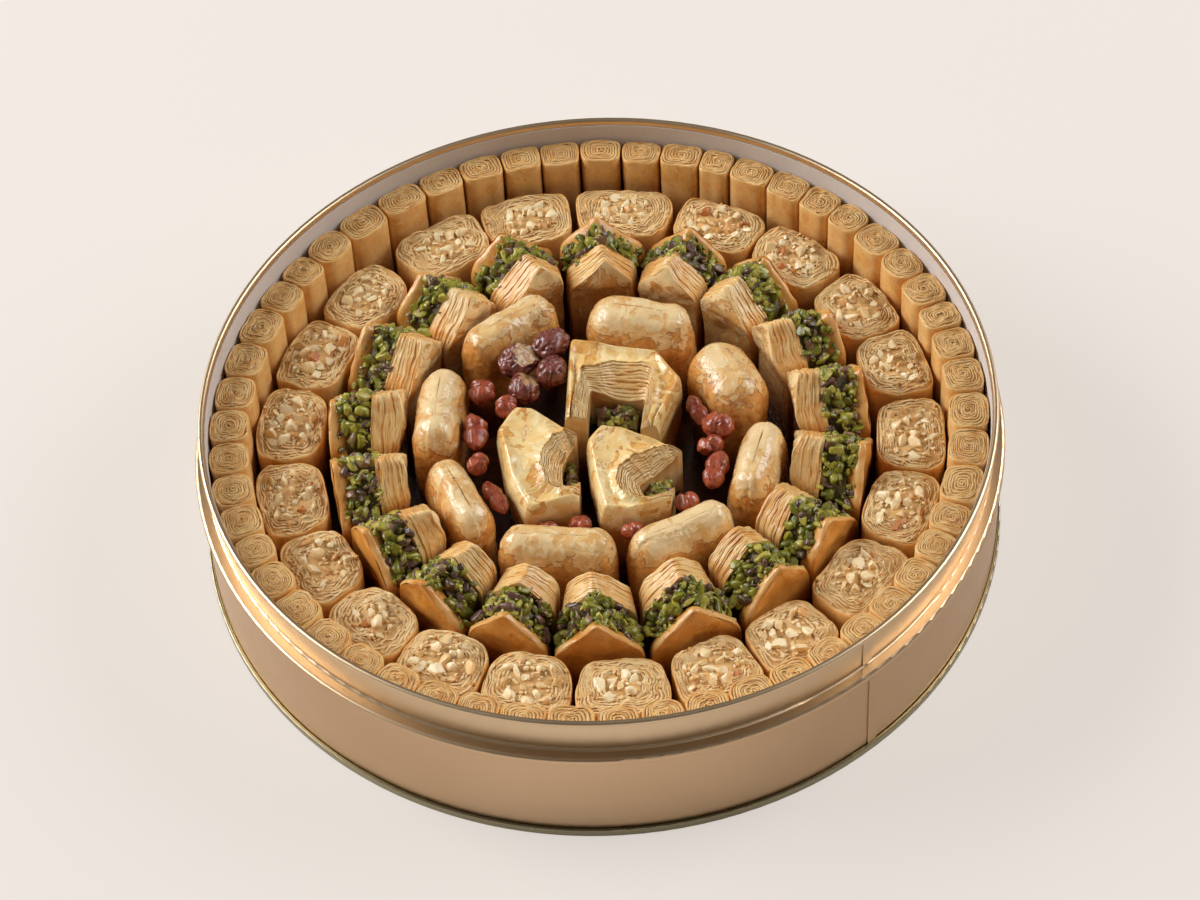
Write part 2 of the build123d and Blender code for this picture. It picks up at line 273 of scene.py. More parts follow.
class Shader:
    """A material and the colour that it has so far; sizes of noise are in millimetres."""

    def __init__(self, name, soft=0.0, depth=0.0, spread=(1.0, 0.5, 0.2), **sockets):
        self.mat = bpy.data.materials.new(name)
        self.mat.use_nodes = True
        self.tree = self.mat.node_tree
        self.bsdf = self.tree.nodes["Principled BSDF"]
        if soft:
            sockets.update(Subsurface_Weight=soft, Subsurface_Scale=depth, Subsurface_Radius=spread)
        for key, value in sockets.items():
            self.bsdf.inputs[key.replace("_", " ")].default_value = value
        self.at = self.place()
        self.colour = None

    @property
    def up(self):
        return self.split(self.at)[2]

    @property
    def tone(self):
        return self.attribute("tone")

    def node(self, kind, **settings):
        made = self.tree.nodes.new(kind)
        for key, value in settings.items():
            setattr(made, key, value)
        return made

    def feed(self, socket, value):
        """Links a socket to another, or sets its value; three numbers are a screen colour."""
        if isinstance(value, bpy.types.NodeSocket):
            self.tree.links.new(value, socket)
        else:
            socket.default_value = rgb(*value) if isinstance(value, tuple) else value

    def place(self, stretch=(1, 1, 1), vector=None):
        mapping = self.node("ShaderNodeMapping")
        mapping.inputs["Scale"].default_value = stretch
        vector = vector or self.node("ShaderNodeTexCoord").outputs["Object"]
        self.feed(mapping.inputs["Vector"], vector)
        return mapping.outputs["Vector"]

    def split(self, vector):
        made = self.node("ShaderNodeSeparateXYZ")
        self.feed(made.inputs[0], vector)
        return made.outputs

    def attribute(self, name, output="Fac"):
        return self.node("ShaderNodeAttribute", attribute_name=name).outputs[output]

    def noise(self, size, detail=4.0, rough=0.55, distort=0.0, at=None):
        made = self.node("ShaderNodeTexNoise")
        self.feed(made.inputs["Vector"], at or self.at)
        values = {"Scale": 1000.0 / size, "Detail": detail, "Roughness": rough, "Distortion": distort}
        for key, value in values.items():
            made.inputs[key].default_value = value
        return made.outputs["Fac"]

    def lines(self, stretch, detail, distort=0.0):
        """Fine lines that follow the sheets; local coordinates are stored with the mesh."""
        at = self.place(stretch, self.attribute("local", "Vector"))
        return self.noise(1000.0, detail, 0.5, distort, at)

    def math(self, kind, *values):
        made = self.node("ShaderNodeMath", operation=kind)
        for socket, value in zip(made.inputs, values):
            self.feed(socket, value)
        return made.outputs[0]

    def times(self, first, second):
        return self.math("MULTIPLY", first, second)

    def plus(self, first, second):
        return self.math("ADD", first, second)

    def rest(self, value):
        return self.math("SUBTRACT", 1.0, value)

    def span(self, value, low, high):
        """A share rescaled so that 0 and 1 land on low and high."""
        return self.math("MULTIPLY_ADD", value, high - low, low)

    def steps(self, value, low, high):
        made = self.node("ShaderNodeMapRange", interpolation_type="SMOOTHSTEP")
        self.feed(made.inputs["Value"], value)
        made.inputs["From Min"].default_value = low
        made.inputs["From Max"].default_value = high
        return made.outputs["Result"]

    def ramp(self, value, stops):
        made = self.node("ShaderNodeValToRGB")
        elements = made.color_ramp.elements
        while len(elements) < len(stops):
            elements.new(0.5)
        for element, (at, colour) in zip(elements, stops):
            element.position = at
            element.color = rgb(*colour)
        self.feed(made.inputs["Fac"], value)
        return made.outputs["Color"]

    def mix(self, share, first, second):
        made = self.node("ShaderNodeMix", data_type="RGBA")
        self.feed(made.inputs["Factor"], share)
        self.feed(made.inputs[6], first)
        self.feed(made.inputs[7], second)
        return made.outputs[2]

    def tint(self, mask, colour, share=None):
        """Lays a colour over the present one where the mask is 1."""
        mask = self.times(mask, share) if share else mask
        self.colour = self.mix(mask, self.colour, colour)

    def torn(self, field, pale, dark):
        """Torn sheets on top of each other, each with its own tint, a painted highlight along its rim and a
        painted shadow below its edge.
        """
        scaled = self.times(field, 7)
        level, part = self.math("FLOOR", scaled), self.math("FRACT", scaled)
        own = self.math("FRACT", self.times(level, 0.618))
        self.tint(self.steps(own, 0.25, 0.75), pale, 0.3)
        # painted highlight along the raised edge of each sheet
        self.tint(self.steps(part, 0.12, 0.02), pale, 0.45)
        # painted shadow on the lower sheet, beside the edge of the sheet above
        self.tint(self.steps(part, 0.9, 0.99), dark, 0.5)
        return self.math("MULTIPLY_ADD", part, 0.25, level)

    def bumps(self, *layers):
        """Relief from (field, depth in mm, strength), the uppermost first."""
        normal = None
        for field, depth, strength in reversed(layers):
            made = self.node("ShaderNodeBump")
            made.inputs["Strength"].default_value = strength
            made.inputs["Distance"].default_value = depth * MM
            self.feed(made.inputs["Height"], field)
            if normal:
                self.feed(made.inputs["Normal"], normal)
            normal = made.outputs["Normal"]
        return normal

    def finish(self, rough, normal, coat=0.0, coat_rough=0.15):
        self.feed(self.bsdf.inputs["Base Color"], self.colour)
        self.feed(self.bsdf.inputs["Roughness"], rough)
        self.feed(self.bsdf.inputs["Normal"], normal)
        if coat:
            self.feed(self.bsdf.inputs["Coat Normal"], normal)
        self.bsdf.inputs["Coat Weight"].default_value = coat
        self.bsdf.inputs["Coat Roughness"].default_value = coat_rough
        return self.mat


# Materials; heights are in metres
def gold_metal():
    """Gold lacquer with a fine grain, painted lighter from the neck up as a painted reflection."""
    s = Shader("gold_lacquer", Metallic=1.0)
    grain = s.noise(0.9, 3, at=s.place((1, 1, 0.08)))
    s.colour = s.mix(s.noise(60, 3), (212, 182, 147), (202, 169, 132))
    # painted reflection: the metal from about 44 mm up is painted lighter than the wall below
    s.tint(s.steps(s.up, 0.0425, 0.0445), (226, 200, 164), 0.8)
    rough = s.plus(s.span(s.noise(18, 5), 0.32, 0.39), s.times(s.steps(grain, 0.4, 0.7), 0.03))
    return s.finish(rough, s.bumps((s.noise(60, 2), 0.03, 0.3)))


def end_metal():
    """Seam metal outside; inside, the panel under the pastry has a dark syrup colour that is partly syrup and
    partly painted shade at the bottom of the deep gaps.
    """
    s = Shader("seam_metal")
    x, y, z = s.split(s.at)
    reach = s.math("SQRT", s.plus(s.times(x, x), s.times(y, y)))
    inside = s.times(s.math("LESS_THAN", reach, 0.1385), s.math("GREATER_THAN", z, 0.0022))
    pool = s.noise(9, 5, 0.6, 0.6)
    s.colour = s.mix(s.noise(14, 5), (172, 164, 134), (150, 142, 116))
    # dark syrup colour on the inner panel: part syrup, part painted shade of the deep gaps
    s.tint(inside, s.mix(s.steps(pool, 0.35, 0.7), (58, 30, 13), (104, 58, 26)))
    s.feed(s.bsdf.inputs["Metallic"], s.rest(inside))
    rough = s.plus(s.span(s.noise(5, 4), 0.22, 0.36), s.times(inside, -0.08))
    return s.finish(rough, s.bumps((pool, 0.25, 0.5), (s.noise(3, 4), 0.03, 0.4)))


def liner_paper():
    """White paper with faint fibres and buttery stains."""
    s = Shader("liner_paper")
    fibres = s.noise(1.2, 6, 0.7, at=s.place((1, 1, 3)))
    s.colour = s.mix(fibres, (226, 218, 212), (208, 199, 192))
    s.tint(s.steps(s.noise(22, 4, 0.6, 0.6), 0.62, 0.8), (205, 178, 146))
    return s.finish(0.65, s.bumps((s.noise(25, 3), 0.5, 0.5), (fibres, 0.03, 0.4)))


def roll_side():
    """Smooth golden outside of a roll, with painted shade low down."""
    s = Shader("roll_side", 0.06, 0.002)
    patch = s.noise(8, 4, 0.6, 0.8)
    streak = s.noise(2.2, 4, 0.6, at=s.place((1, 1, 0.2)))
    s.colour = s.mix(s.steps(patch, 0.35, 0.68), (236, 180, 98), (222, 150, 66))
    s.tint(s.steps(streak, 0.45, 0.75), (240, 208, 150), 0.35)
    # torn sheets with a painted highlight on their rims and a painted shadow below them
    layered = s.torn(s.noise(14, 5, 0.6, 0.9), (242, 208, 146), (190, 120, 50))
    # painted shade: darker towards the floor, deep among the other pieces
    s.colour = s.mix(s.steps(s.up, 0.01, 0.04), (150, 80, 26), s.colour)
    s.tint(s.tone, (236, 200, 138), 0.3)
    normal = s.bumps((layered, 0.1, 0.5), (patch, 0.5, 0.5), (streak, 0.1, 0.5))
    return s.finish(s.span(patch, 0.26, 0.44), normal, 0.35, 0.2)


def sheet_edge():
    """Cut edges of rolled sheets: pale, crumbly, browner in patches."""
    s = Shader("sheet_edge")
    crumb = s.noise(1.1, 5, 0.7)
    s.colour = s.mix(s.steps(s.noise(7, 4, 0.6), 0.35, 0.68), (228, 180, 108), (214, 152, 78))
    s.tint(s.tone, (243, 214, 156), 0.85)
    s.tint(s.steps(crumb, 0.5, 0.75), (206, 152, 84), 0.5)
    s.tint(s.steps(crumb, 0.42, 0.25), (246, 228, 184), 0.5)
    normal = s.bumps((crumb, 0.45, 0.7), (s.noise(0.5, 3), 0.1, 0.6))
    return s.finish(s.span(crumb, 0.38, 0.6), normal, 0.15, 0.3)


def roll_core():
    """The shadowed bed between the sheets."""
    s = Shader("roll_core")
    crumb = s.noise(1.3, 5, 0.7)
    s.colour = s.mix(crumb, (206, 154, 88), (228, 188, 124))
    return s.finish(0.55, s.bumps((crumb, 0.4, 0.8)), 0.2, 0.25)


def pale_nut():
    """Chopped cashew, from cream to roasted brown by tone."""
    s = Shader("pale_nut", 0.1, 0.002, (1.0, 0.6, 0.3))
    patch = s.noise(2.6, 4, 0.6)
    s.colour = s.ramp(s.tone, [
        (0.0, (248, 228, 184)), (0.45, (236, 204, 148)), (0.8, (218, 166, 102)), (1.0, (190, 116, 58))])
    s.tint(s.steps(patch, 0.5, 0.8), (208, 156, 92))
    return s.finish(s.span(patch, 0.28, 0.45), s.bumps((patch, 0.25, 0.6)), 0.2, 0.2)


def phyllo_stack():
    """Cut and glazed sheets of the pistachio squares, with painted shade in the gaps between them and low
    down.
    """
    s = Shader("phyllo_stack", 0.1, 0.002)
    lines = s.lines((1.6, 0.22, 0.22), 3.0, 0.6)
    patch = s.noise(9, 4, 0.6, 0.8)
    broken = s.steps(s.noise(4, 4, 0.6, 0.5), 0.38, 0.62)
    s.colour = s.mix(s.steps(patch, 0.36, 0.66), (240, 206, 142), (228, 170, 94))
    s.tint(s.times(s.steps(lines, 0.5, 0.72), broken), (196, 130, 60), 0.4)
    s.tint(s.steps(s.noise(6, 4, 0.6, 0.8), 0.54, 0.7), (246, 228, 182), 0.5)
    # painted shade: the tone is high at the bottoms of the open gaps between sheets
    s.tint(s.tone, (206, 138, 64), 0.55)
    # painted shade: darker towards the floor
    s.tint(s.steps(s.up, 0.04, 0.014), (164, 88, 28))
    normal = s.bumps((lines, 0.14, 0.5), (patch, 0.4, 0.4))
    return s.finish(s.span(patch, 0.26, 0.45), normal, 0.35, 0.2)


def square_face():
    """Smooth glazed sheet that closes the inner end of a square, with painted shadows beside its torn sheets
    and painted shade low down.
    """
    s = Shader("square_face", 0.08, 0.002)
    patch = s.noise(8, 4, 0.6, 0.8)
    fine = s.noise(1.8, 4, 0.6)
    lie = s.math("MULTIPLY_ADD", s.steps(s.up, 0.02, 0.052), 0.2, s.noise(9, 7, 0.62, 1.1))
    over = s.steps(lie, 0.64, 0.655)
    s.colour = s.mix(s.steps(patch, 0.36, 0.66), (232, 194, 128), (216, 158, 82))
    s.tint(over, (246, 220, 164))
    # painted shadow on the lower sheet beside the edge of the sheet over it
    s.tint(s.times(s.steps(lie, 0.6, 0.64), s.rest(over)), (176, 106, 40), 0.45)
    s.tint(fine, (202, 134, 60), 0.2)
    # painted shade: darker towards the floor
    s.tint(s.steps(s.up, 0.03, 0.006), (166, 90, 28))
    normal = s.bumps((over, 0.2, 0.6), (patch, 0.8, 0.6), (fine, 0.12, 0.5))
    return s.finish(s.span(fine, 0.16, 0.4), normal, 0.5, 0.14)


def amber_crust():
    """The soaked amber slab on the outer side of a square; tone marks its crumbly edge. Its torn sheets carry
    a painted highlight and a painted shadow, and it has painted shade low down.
    """
    s = Shader("amber_crust", 0.2, 0.003, (1.0, 0.45, 0.12))
    patch = s.noise(7, 4, 0.6, 0.6)
    fine = s.noise(1.2, 4, 0.6)
    s.colour = s.mix(s.steps(patch, 0.35, 0.7), (212, 138, 50), (226, 164, 80))
    # torn sheets with a painted highlight on their rims and a painted shadow below them
    layered = s.torn(s.noise(13, 6, 0.6, 0.9), (236, 180, 96), (160, 86, 24))
    # painted shade: darker towards the floor
    s.tint(s.steps(s.up, 0.044, 0.016), (146, 72, 14))
    s.tint(s.tone, (240, 200, 134))
    s.tint(fine, (176, 100, 34), 0.25)
    normal = s.bumps((layered, 0.1, 0.5), (patch, 0.5, 0.5), (fine, 0.14, 0.6))
    return s.finish(s.span(fine, 0.18, 0.46), normal, 0.4, 0.18)


def pistachio():
    """Chopped pistachio: greens up to tone 0.6, purple and brown skins above it."""
    s = Shader("pistachio", 0.1, 0.0015, (0.6, 1.0, 0.3))
    patch = s.noise(1.8, 4, 0.65)
    s.colour = s.ramp(s.tone, [
        (0.0, (96, 98, 26)), (0.2, (124, 124, 34)), (0.42, (156, 150, 48)), (0.6, (188, 176, 76)),
        (0.68, (140, 112, 60)), (0.76, (116, 80, 66)), (0.9, (78, 54, 46)), (1.0, (164, 132, 96))])
    s.tint(s.steps(patch, 0.48, 0.78), (84, 82, 22))
    s.tint(s.steps(s.noise(3.5, 3), 0.62, 0.8), (188, 170, 98))
    return s.finish(s.span(patch, 0.25, 0.42), s.bumps((patch, 0.3, 0.7)), 0.35, 0.18)


def syrup_bed():
    """Ground nuts in syrup under the larger pieces of a filling."""
    s = Shader("syrup_bed")
    patch = s.noise(2.2, 5, 0.7)
    s.colour = s.mix(patch, (58, 44, 18), (118, 98, 40))
    return s.finish(0.3, s.bumps((patch, 0.8, 0.9)), 0.5, 0.12)


def glazed_crust():
    """Glazed skin of the pillow rolls: pale torn sheets on top with a painted highlight on their rims and a
    painted shadow beside them, amber lower down, and painted shade near the floor.
    """
    s = Shader("glazed_crust", 0.1, 0.003)
    blister = s.noise(8, 5, 0.6, 0.8)
    fine = s.noise(1.5, 5, 0.65)
    s.colour = s.mix(s.steps(blister, 0.34, 0.66), (224, 162, 88), (204, 132, 58))
    s.tint(s.steps(s.noise(3.2, 4, 0.6, 0.8), 0.5, 0.7), (232, 182, 108))
    s.tint(s.steps(s.up, 0.048, 0.053), (236, 190, 120), 0.5)
    cream = s.mix(s.steps(s.noise(6, 5, 0.6, 0.6), 0.38, 0.64), (236, 200, 140), (218, 166, 98))
    lie = s.math("MULTIPLY_ADD", s.steps(s.up, 0.037, 0.054), 0.5, s.times(s.tone, 0.4))
    lie = s.math("MULTIPLY_ADD", s.noise(10, 8, 0.66, 0.9), 1.15, lie)
    over, second = s.steps(lie, 0.985, 1.01), s.steps(lie, 1.185, 1.2)
    s.tint(over, cream, 0.85)
    # painted highlight along the edge of the pale sheet
    s.tint(s.times(over, s.steps(lie, 1.05, 1.0)), (246, 224, 174), 0.4)
    # painted shadow on the skin beside the edge of the pale sheet
    s.tint(s.times(s.steps(lie, 0.93, 0.985), s.rest(over)), (150, 84, 30), 0.55)
    s.tint(second, (248, 228, 182), 0.5)
    # painted shade: dark brown towards the floor, deep among the other pieces
    s.tint(s.steps(s.up, 0.034, 0.01), (104, 46, 10))
    normal = s.bumps((s.plus(over, second), 0.3, 0.6), (blister, 0.8, 0.6), (fine, 0.14, 0.5))
    return s.finish(s.span(fine, 0.14, 0.4), normal, 0.5, 0.12)


def folded_stack():
    """Cut edges of the folded stacks: fine lines that follow the sheets, with painted shade in the gaps
    between them, on the inner side and low down.
    """
    s = Shader("folded_stack", 0.08, 0.002)
    lines = s.lines((1.9, 0.1, 0.1), 2.0)
    patch = s.noise(8, 4, 0.6, 0.7)
    s.colour = s.mix(s.steps(patch, 0.4, 0.65), (242, 214, 156), (232, 186, 116))
    s.tint(s.steps(lines, 0.5, 0.7), (188, 120, 52), 0.6)
    # painted shade: the tone marks the bottoms of the gaps between sheets and the inner side
    s.tint(s.tone, (166, 98, 38), 0.7)
    # painted shade: darker towards the floor
    s.tint(s.steps(s.up, 0.04, 0.02), (116, 58, 20))
    normal = s.bumps((lines, 0.2, 0.6), (patch, 0.3, 0.4))
    return s.finish(s.span(patch, 0.28, 0.46), normal, 0.3, 0.2)


def outer_sheet():
    """Smooth glazed face of a folded stack, pale on top and browner down its side, that brown partly its
    glaze and partly painted shade; painted shade near the foot and painted shadows beside its torn sheets.
    """
    s = Shader("outer_sheet", 0.1, 0.003)
    patch = s.noise(9, 4, 0.6, 0.9)
    fine = s.noise(1.6, 4, 0.6)
    cream = s.mix(s.steps(patch, 0.38, 0.62), (246, 218, 156), (236, 194, 122))
    lie = s.noise(13, 7, 0.62, 1.3)
    over, second = s.steps(lie, 0.43, 0.45), s.steps(lie, 0.56, 0.575)
    s.colour = s.mix(s.steps(s.noise(3.5, 4, 0.6), 0.4, 0.65), (230, 180, 104), (214, 150, 72))
    s.tint(over, cream)
    # painted shadow beside the edge of the pale sheet
    s.tint(s.times(s.steps(lie, 0.38, 0.43), s.rest(over)), (184, 116, 48), 0.4)
    s.tint(second, (252, 234, 186), 0.5)
    # browner down the side: partly the glaze colour, partly painted shade
    s.tint(s.steps(s.up, 0.046, 0.036), (214, 148, 72))
    # painted shade: dark towards the foot, under the overhanging top
    s.tint(s.steps(s.up, 0.036, 0.014), (100, 48, 14))
    normal = s.bumps((s.plus(over, second), 0.2, 0.6), (patch, 0.9, 0.6), (fine, 0.1, 0.5))
    return s.finish(s.span(fine, 0.12, 0.34), normal, 0.55, 0.1)


def nut_skin(name, light, dark, size):
    """Glossy brown skin, with painted shade in its creases and low down; pale where the nut is broken."""
    s = Shader(name, 0.05, 0.0015, (1.0, 0.2, 0.1))
    patch = s.noise(size, 5, 0.65, 0.6)
    veins = s.noise(size * 0.35, 4, 0.6)
    s.colour = s.mix(s.steps(patch, 0.35, 0.68), light, dark)
    s.tint(s.steps(veins, 0.55, 0.75), (206, 132, 92), 0.4)
    # painted shade: low tone marks the creases and the waist
    s.tint(s.steps(s.tone, 0.35, 0.05), (52, 18, 14))
    s.tint(s.steps(s.tone, 0.8, 0.9), s.mix(veins, (206, 168, 122), (168, 122, 80)))
    # painted shade: darker towards the floor among the pastry
    s.tint(s.steps(s.up, 0.042, 0.03), (40, 16, 10))
    normal = s.bumps((patch, 0.4, 0.6), (veins, 0.2, 0.6))
    return s.finish(s.span(veins, 0.16, 0.34), normal, 0.6, 0.08)


GOLD = gold_metal()
SEAM = end_metal()
PAPER = liner_paper()
SIDE = roll_side()
EDGE = sheet_edge()
CORE = roll_core()
NUT = pale_nut()
STACK = phyllo_stack()
FACE = square_face()
AMBER = amber_crust()
GREEN = pistachio()
BED = syrup_bed()
GLAZE = glazed_crust()
FOLD = folded_stack()
SHEET = outer_sheet()
PEANUT = nut_skin("peanut_skin", (178, 88, 58), (124, 46, 28), 3.0)
WALNUT = nut_skin("walnut_skin", (136, 70, 58), (88, 38, 36), 2.2)


# Rolls that stand on end
ROLL_RIM = 0.965            # share of the radius where the outermost turn of the sheet runs


class Roll:
    """A roll standing on end in its own frame, X outward."""

    def __init__(self, a, b, centre, top, rng, power=2.2, crown=1.0, tilt=0.0, rough=0.5):
        self.a, self.b, self.centre, self.top, self.rng = a, b, centre, top, rng
        self.power, self.crown, self.tilt, self.rough = power, crown, tilt, rough
        self.seed = rng.uniform(0, 100)
        # depth of the gaps between the turns, share of pale sheets, least depth of a gap
        self.open, self.pale, self.gap = 0.6, 0.25, 0.12

    def point(self, share, angle):
        """Plan position at a share of the way from the middle to the rim."""
        c, s = np.cos(angle), np.sin(angle)
        r = (np.abs(c) ** self.power + np.abs(s) ** self.power) ** (-1 / self.power) * share
        around = np.stack([3 * c, 3 * s, np.zeros_like(c)], -1)
        r = r * (0.985 + 0.03 * noise(around, 1.6, self.seed + 3))
        x = self.a * r * c
        return x, self.b * r * s * (1 + x / self.centre)

    def height(self, x, y, share):
        spot = np.stack([x, y, np.zeros_like(x)], -1)
        swell = self.rough * noise(spot, 5.5, self.seed) + 0.4 * self.rough * noise(spot, 2.4, self.seed + 1)
        return self.top - self.crown * share ** 2.4 + self.tilt * x + swell - 0.4 * self.rough

    def wall(self, bag, count):
        angle = np.linspace(0, TURN, count, endpoint=False)
        x, y = self.point(np.ones(count), angle)
        rim_z = self.height(x, y, np.ones(count)) - 0.6
        rings = []
        for step in (0, 0.2, 0.4, 0.55, 0.68, 0.78, 0.86, 0.92, 0.96, 1.0):
            z = FLOOR + (rim_z - FLOOR) * step
            ring = np.column_stack([x, y, z])
            swell = 1 - (0.16 + 0.2 * noise(ring * [1, 1, 0.35], 5.0, self.seed)) / self.b
            ring[:, :2] *= swell[:, None]
            rings.append(ring)
        for inset, rise in ((0.1, 0.35), (0.35, 0.6), (0.7, 0.55), (0.9, 0.1)):
            ring = rings[9].copy()
            ring[:, :2] *= 1 - inset / self.b
            ring[:, 2] += rise
            rings.append(ring)
        bag.loft(rings, 0, tone=self.rng.uniform(0, 1))

    def bed(self, bag, count, depth):
        rings = []
        angle = np.linspace(0, TURN, count, endpoint=False)
        for share in np.linspace(0.96, 0.03, 10):
            share = np.full(count, share)
            x, y = self.point(share, angle)
            rings.append(np.column_stack([x, y, self.height(x, y, share) - depth]))
        bag.loft(rings, 2, end=True)

    def sheets(self, bag, pitch, core, per_turn, wander=0.5, crumb=0.3):
        turns = (ROLL_RIM - core) * min(self.a, self.b) / pitch
        steps = int(turns * per_turn)
        angle = np.linspace(0, turns * TURN, steps) + self.rng.uniform(0, 6.28)
        share = np.linspace(ROLL_RIM, core, steps)
        x, y = self.point(share, angle)
        flat = np.column_stack([x, y, np.zeros(steps)])
        loose = np.minimum(1, (ROLL_RIM - share) / 0.08)
        share = share + wander * pitch / self.b * noise(flat, 4.2, self.seed + 7) * loose
        x, y = self.point(share, angle)
        flat = np.column_stack([x, y, share * 40])
        rough = 0.7 * noise(flat, 3.2, self.seed + 9) + 0.45 * noise(flat, 1.2, self.seed + 10)
        top = self.height(x, y, share) + crumb * rough
        inward = -flat[:, :2] / np.maximum(np.linalg.norm(flat[:, :2], axis=1, keepdims=True), 0.4)
        thick = pitch * (0.95 + 0.2 * noise(flat, 3.0, self.seed + 5))[:, None]
        groove = self.gap + self.open * np.maximum(noise(flat, 4.0, self.seed + 12) - 0.05, 0)
        rows = []
        for part, drop in ((0.0, groove), (0.14, 0.08), (0.5, 0.0), (0.84, 0.07), (1.0, groove)):
            rows.append(np.column_stack([flat[:, :2] + inward * thick * part, top - drop]))
        tone = np.repeat(np.clip(self.pale + 0.5 * noise(flat, 2.6, self.seed + 13), 0, 1), 5)
        bag.loft(np.stack(rows, 1), 1, closed=False, tone=tone)


def moved(bag, start, x, y, degrees):
    """Turns everything added to the bag since start into its place."""
    for index in range(start, len(bag.points)):
        bag.points[index] = turned(bag.points[index], x, y, degrees)


def finger_rolls():
    """The outer ring of thin rolls, each with its sheet wound in a spiral."""
    following = FINGER_EDGES[1:] + [FINGER_EDGES[0] + 360]
    for number, (name, quarter) in enumerate(FINGER_QUARTERS.items()):
        rng = np.random.default_rng(100 + number)
        bag = Bag()
        for start, end in zip(FINGER_EDGES, following):
            angle, half = (start + end) / 2, (end - start) / 2
            if not -45 <= (angle - quarter + 180) % 360 - 180 < 45:
                continue
            depth = FINGER_DEPTH + FINGER_SWING * math.cos(math.radians(2 * angle))
            centre = FINGER_LIMIT - depth / 2
            first = len(bag.points)
            square = rng.uniform(3.4, 4.6) if name == "finger_rolls_back" else rng.uniform(2.8, 3.8)
            crumbly = 0.5 if name == "finger_rolls_front" else 0.35
            roll = Roll(
                depth / 2 + 0.1, centre * tangent(half) - 0.05, centre, FINGER_TOP + rng.uniform(-0.5, 0.5),
                rng, square, crown=0.4, tilt=rng.uniform(-0.06, 0.04), rough=crumbly)
            roll.wall(bag, 56)
            roll.bed(bag, 40, 0.6)
            roll.sheets(bag, rng.uniform(0.62, 0.85), 0.1, 50, rng.uniform(0.6, 1.4), crumbly + 0.15)
            moved(bag, first, *polar(centre, angle), angle)
        thing = bag.object(name + "_baked", [SIDE, EDGE, CORE])
        put(thing, "finger_ring", "finger_pastry", name)


NUT_ATTEMPTS, NUT_LARGE = 700, 200      # places tried for a nut on one roll; the first for large ones


def cashew_rolls():
    """Wide rolls with chopped cashews in the middle, level with the cut sheets."""
    count = len(CASHEW_ANGLES)
    for number, angle in enumerate(CASHEW_ANGLES):
        rng = np.random.default_rng(200 + number)
        left = (angle - CASHEW_ANGLES[number - 1]) % 360
        right = (CASHEW_ANGLES[(number + 1) % count] - angle) % 360
        a = CASHEW_DEPTH / 2
        b = CASHEW_CENTRE * tangent(min(left, right) / 2) - 0.1
        roll = Roll(a, b, CASHEW_CENTRE, CASHEW_TOP + 1.2, rng, rng.uniform(2.8, 4.0),
                    crown=rng.uniform(0.9, 1.8), tilt=rng.uniform(-0.05, 0.03), rough=1.0)
        roll.open, roll.pale, roll.gap = 0.3, 0.75, 0.07
        bag = Bag()
        roll.wall(bag, 90)
        roll.bed(bag, 60, 0.5)
        reach = rng.uniform(0.5, 0.7)
        roll.sheets(bag, rng.uniform(0.6, 0.85), reach * 0.8, 96, rng.uniform(1.4, 2.6), 1.0)
        spots = []
        for attempt in range(NUT_ATTEMPTS):
            share, turn = math.sqrt(rng.uniform(0, 1)) * reach, rng.uniform(0, TURN)
            x, y = roll.point(np.array(share), np.array(turn))
            size = rng.uniform(4.6, 8.6) if attempt < NUT_LARGE else rng.uniform(1.8, 3.6)
            if all(math.hypot(x - u, y - v) > 0.3 * (size + other) for u, v, other in spots):
                spots.append((x, y, size))
        for x, y, size in spots:
            share = math.hypot(x / a, y / b)
            flat = size * rng.uniform(0.5, 0.75)
            z = roll.height(x, y, share) - flat * 0.08 + rng.uniform(-0.3, 0.3)
            tone = rng.choice([0.0, 0.2, 0.45, 0.8, 1.0], p=[0.45, 0.3, 0.15, 0.06, 0.04])
            chunk(bag, [x, y, z], (size, size * rng.uniform(0.6, 0.9), flat), rng, 3, tone,
                  cuts=9, rough=0.09, deep=0.22)
        for _ in range(30):
            share, turn = rng.uniform(reach * 0.7, 0.93), rng.uniform(0, TURN)
            x, y = roll.point(np.array(share), np.array(turn))
            size = rng.uniform(0.8, 2.2)
            z = roll.height(x, y, share)
            chunk(bag, [x, y, z], (size, size, size * 0.5), rng, 1, rng.uniform(0, 0.9), cuts=4, level=2)
        moved(bag, 0, *polar(CASHEW_CENTRE, angle), angle)
        name = f"cashew_roll_{number + 1:02d}"
        thing = bag.object(name + "_baked", [SIDE, EDGE, CORE, NUT])
        put(thing, "cashew_ring", "cashew_pastry", name)


# Pistachio squares
def smoothed(ring, times=2, hold=()):
    for _ in range(times):
        softer = (np.roll(ring, 1, 0) + 2 * ring + np.roll(ring, -1, 0)) / 4
        for index in hold:
            softer[index] = ring[index]
        ring = softer
    return ring


UPPER = slice(7, 37)         # points of the two slopes in a ring of a square


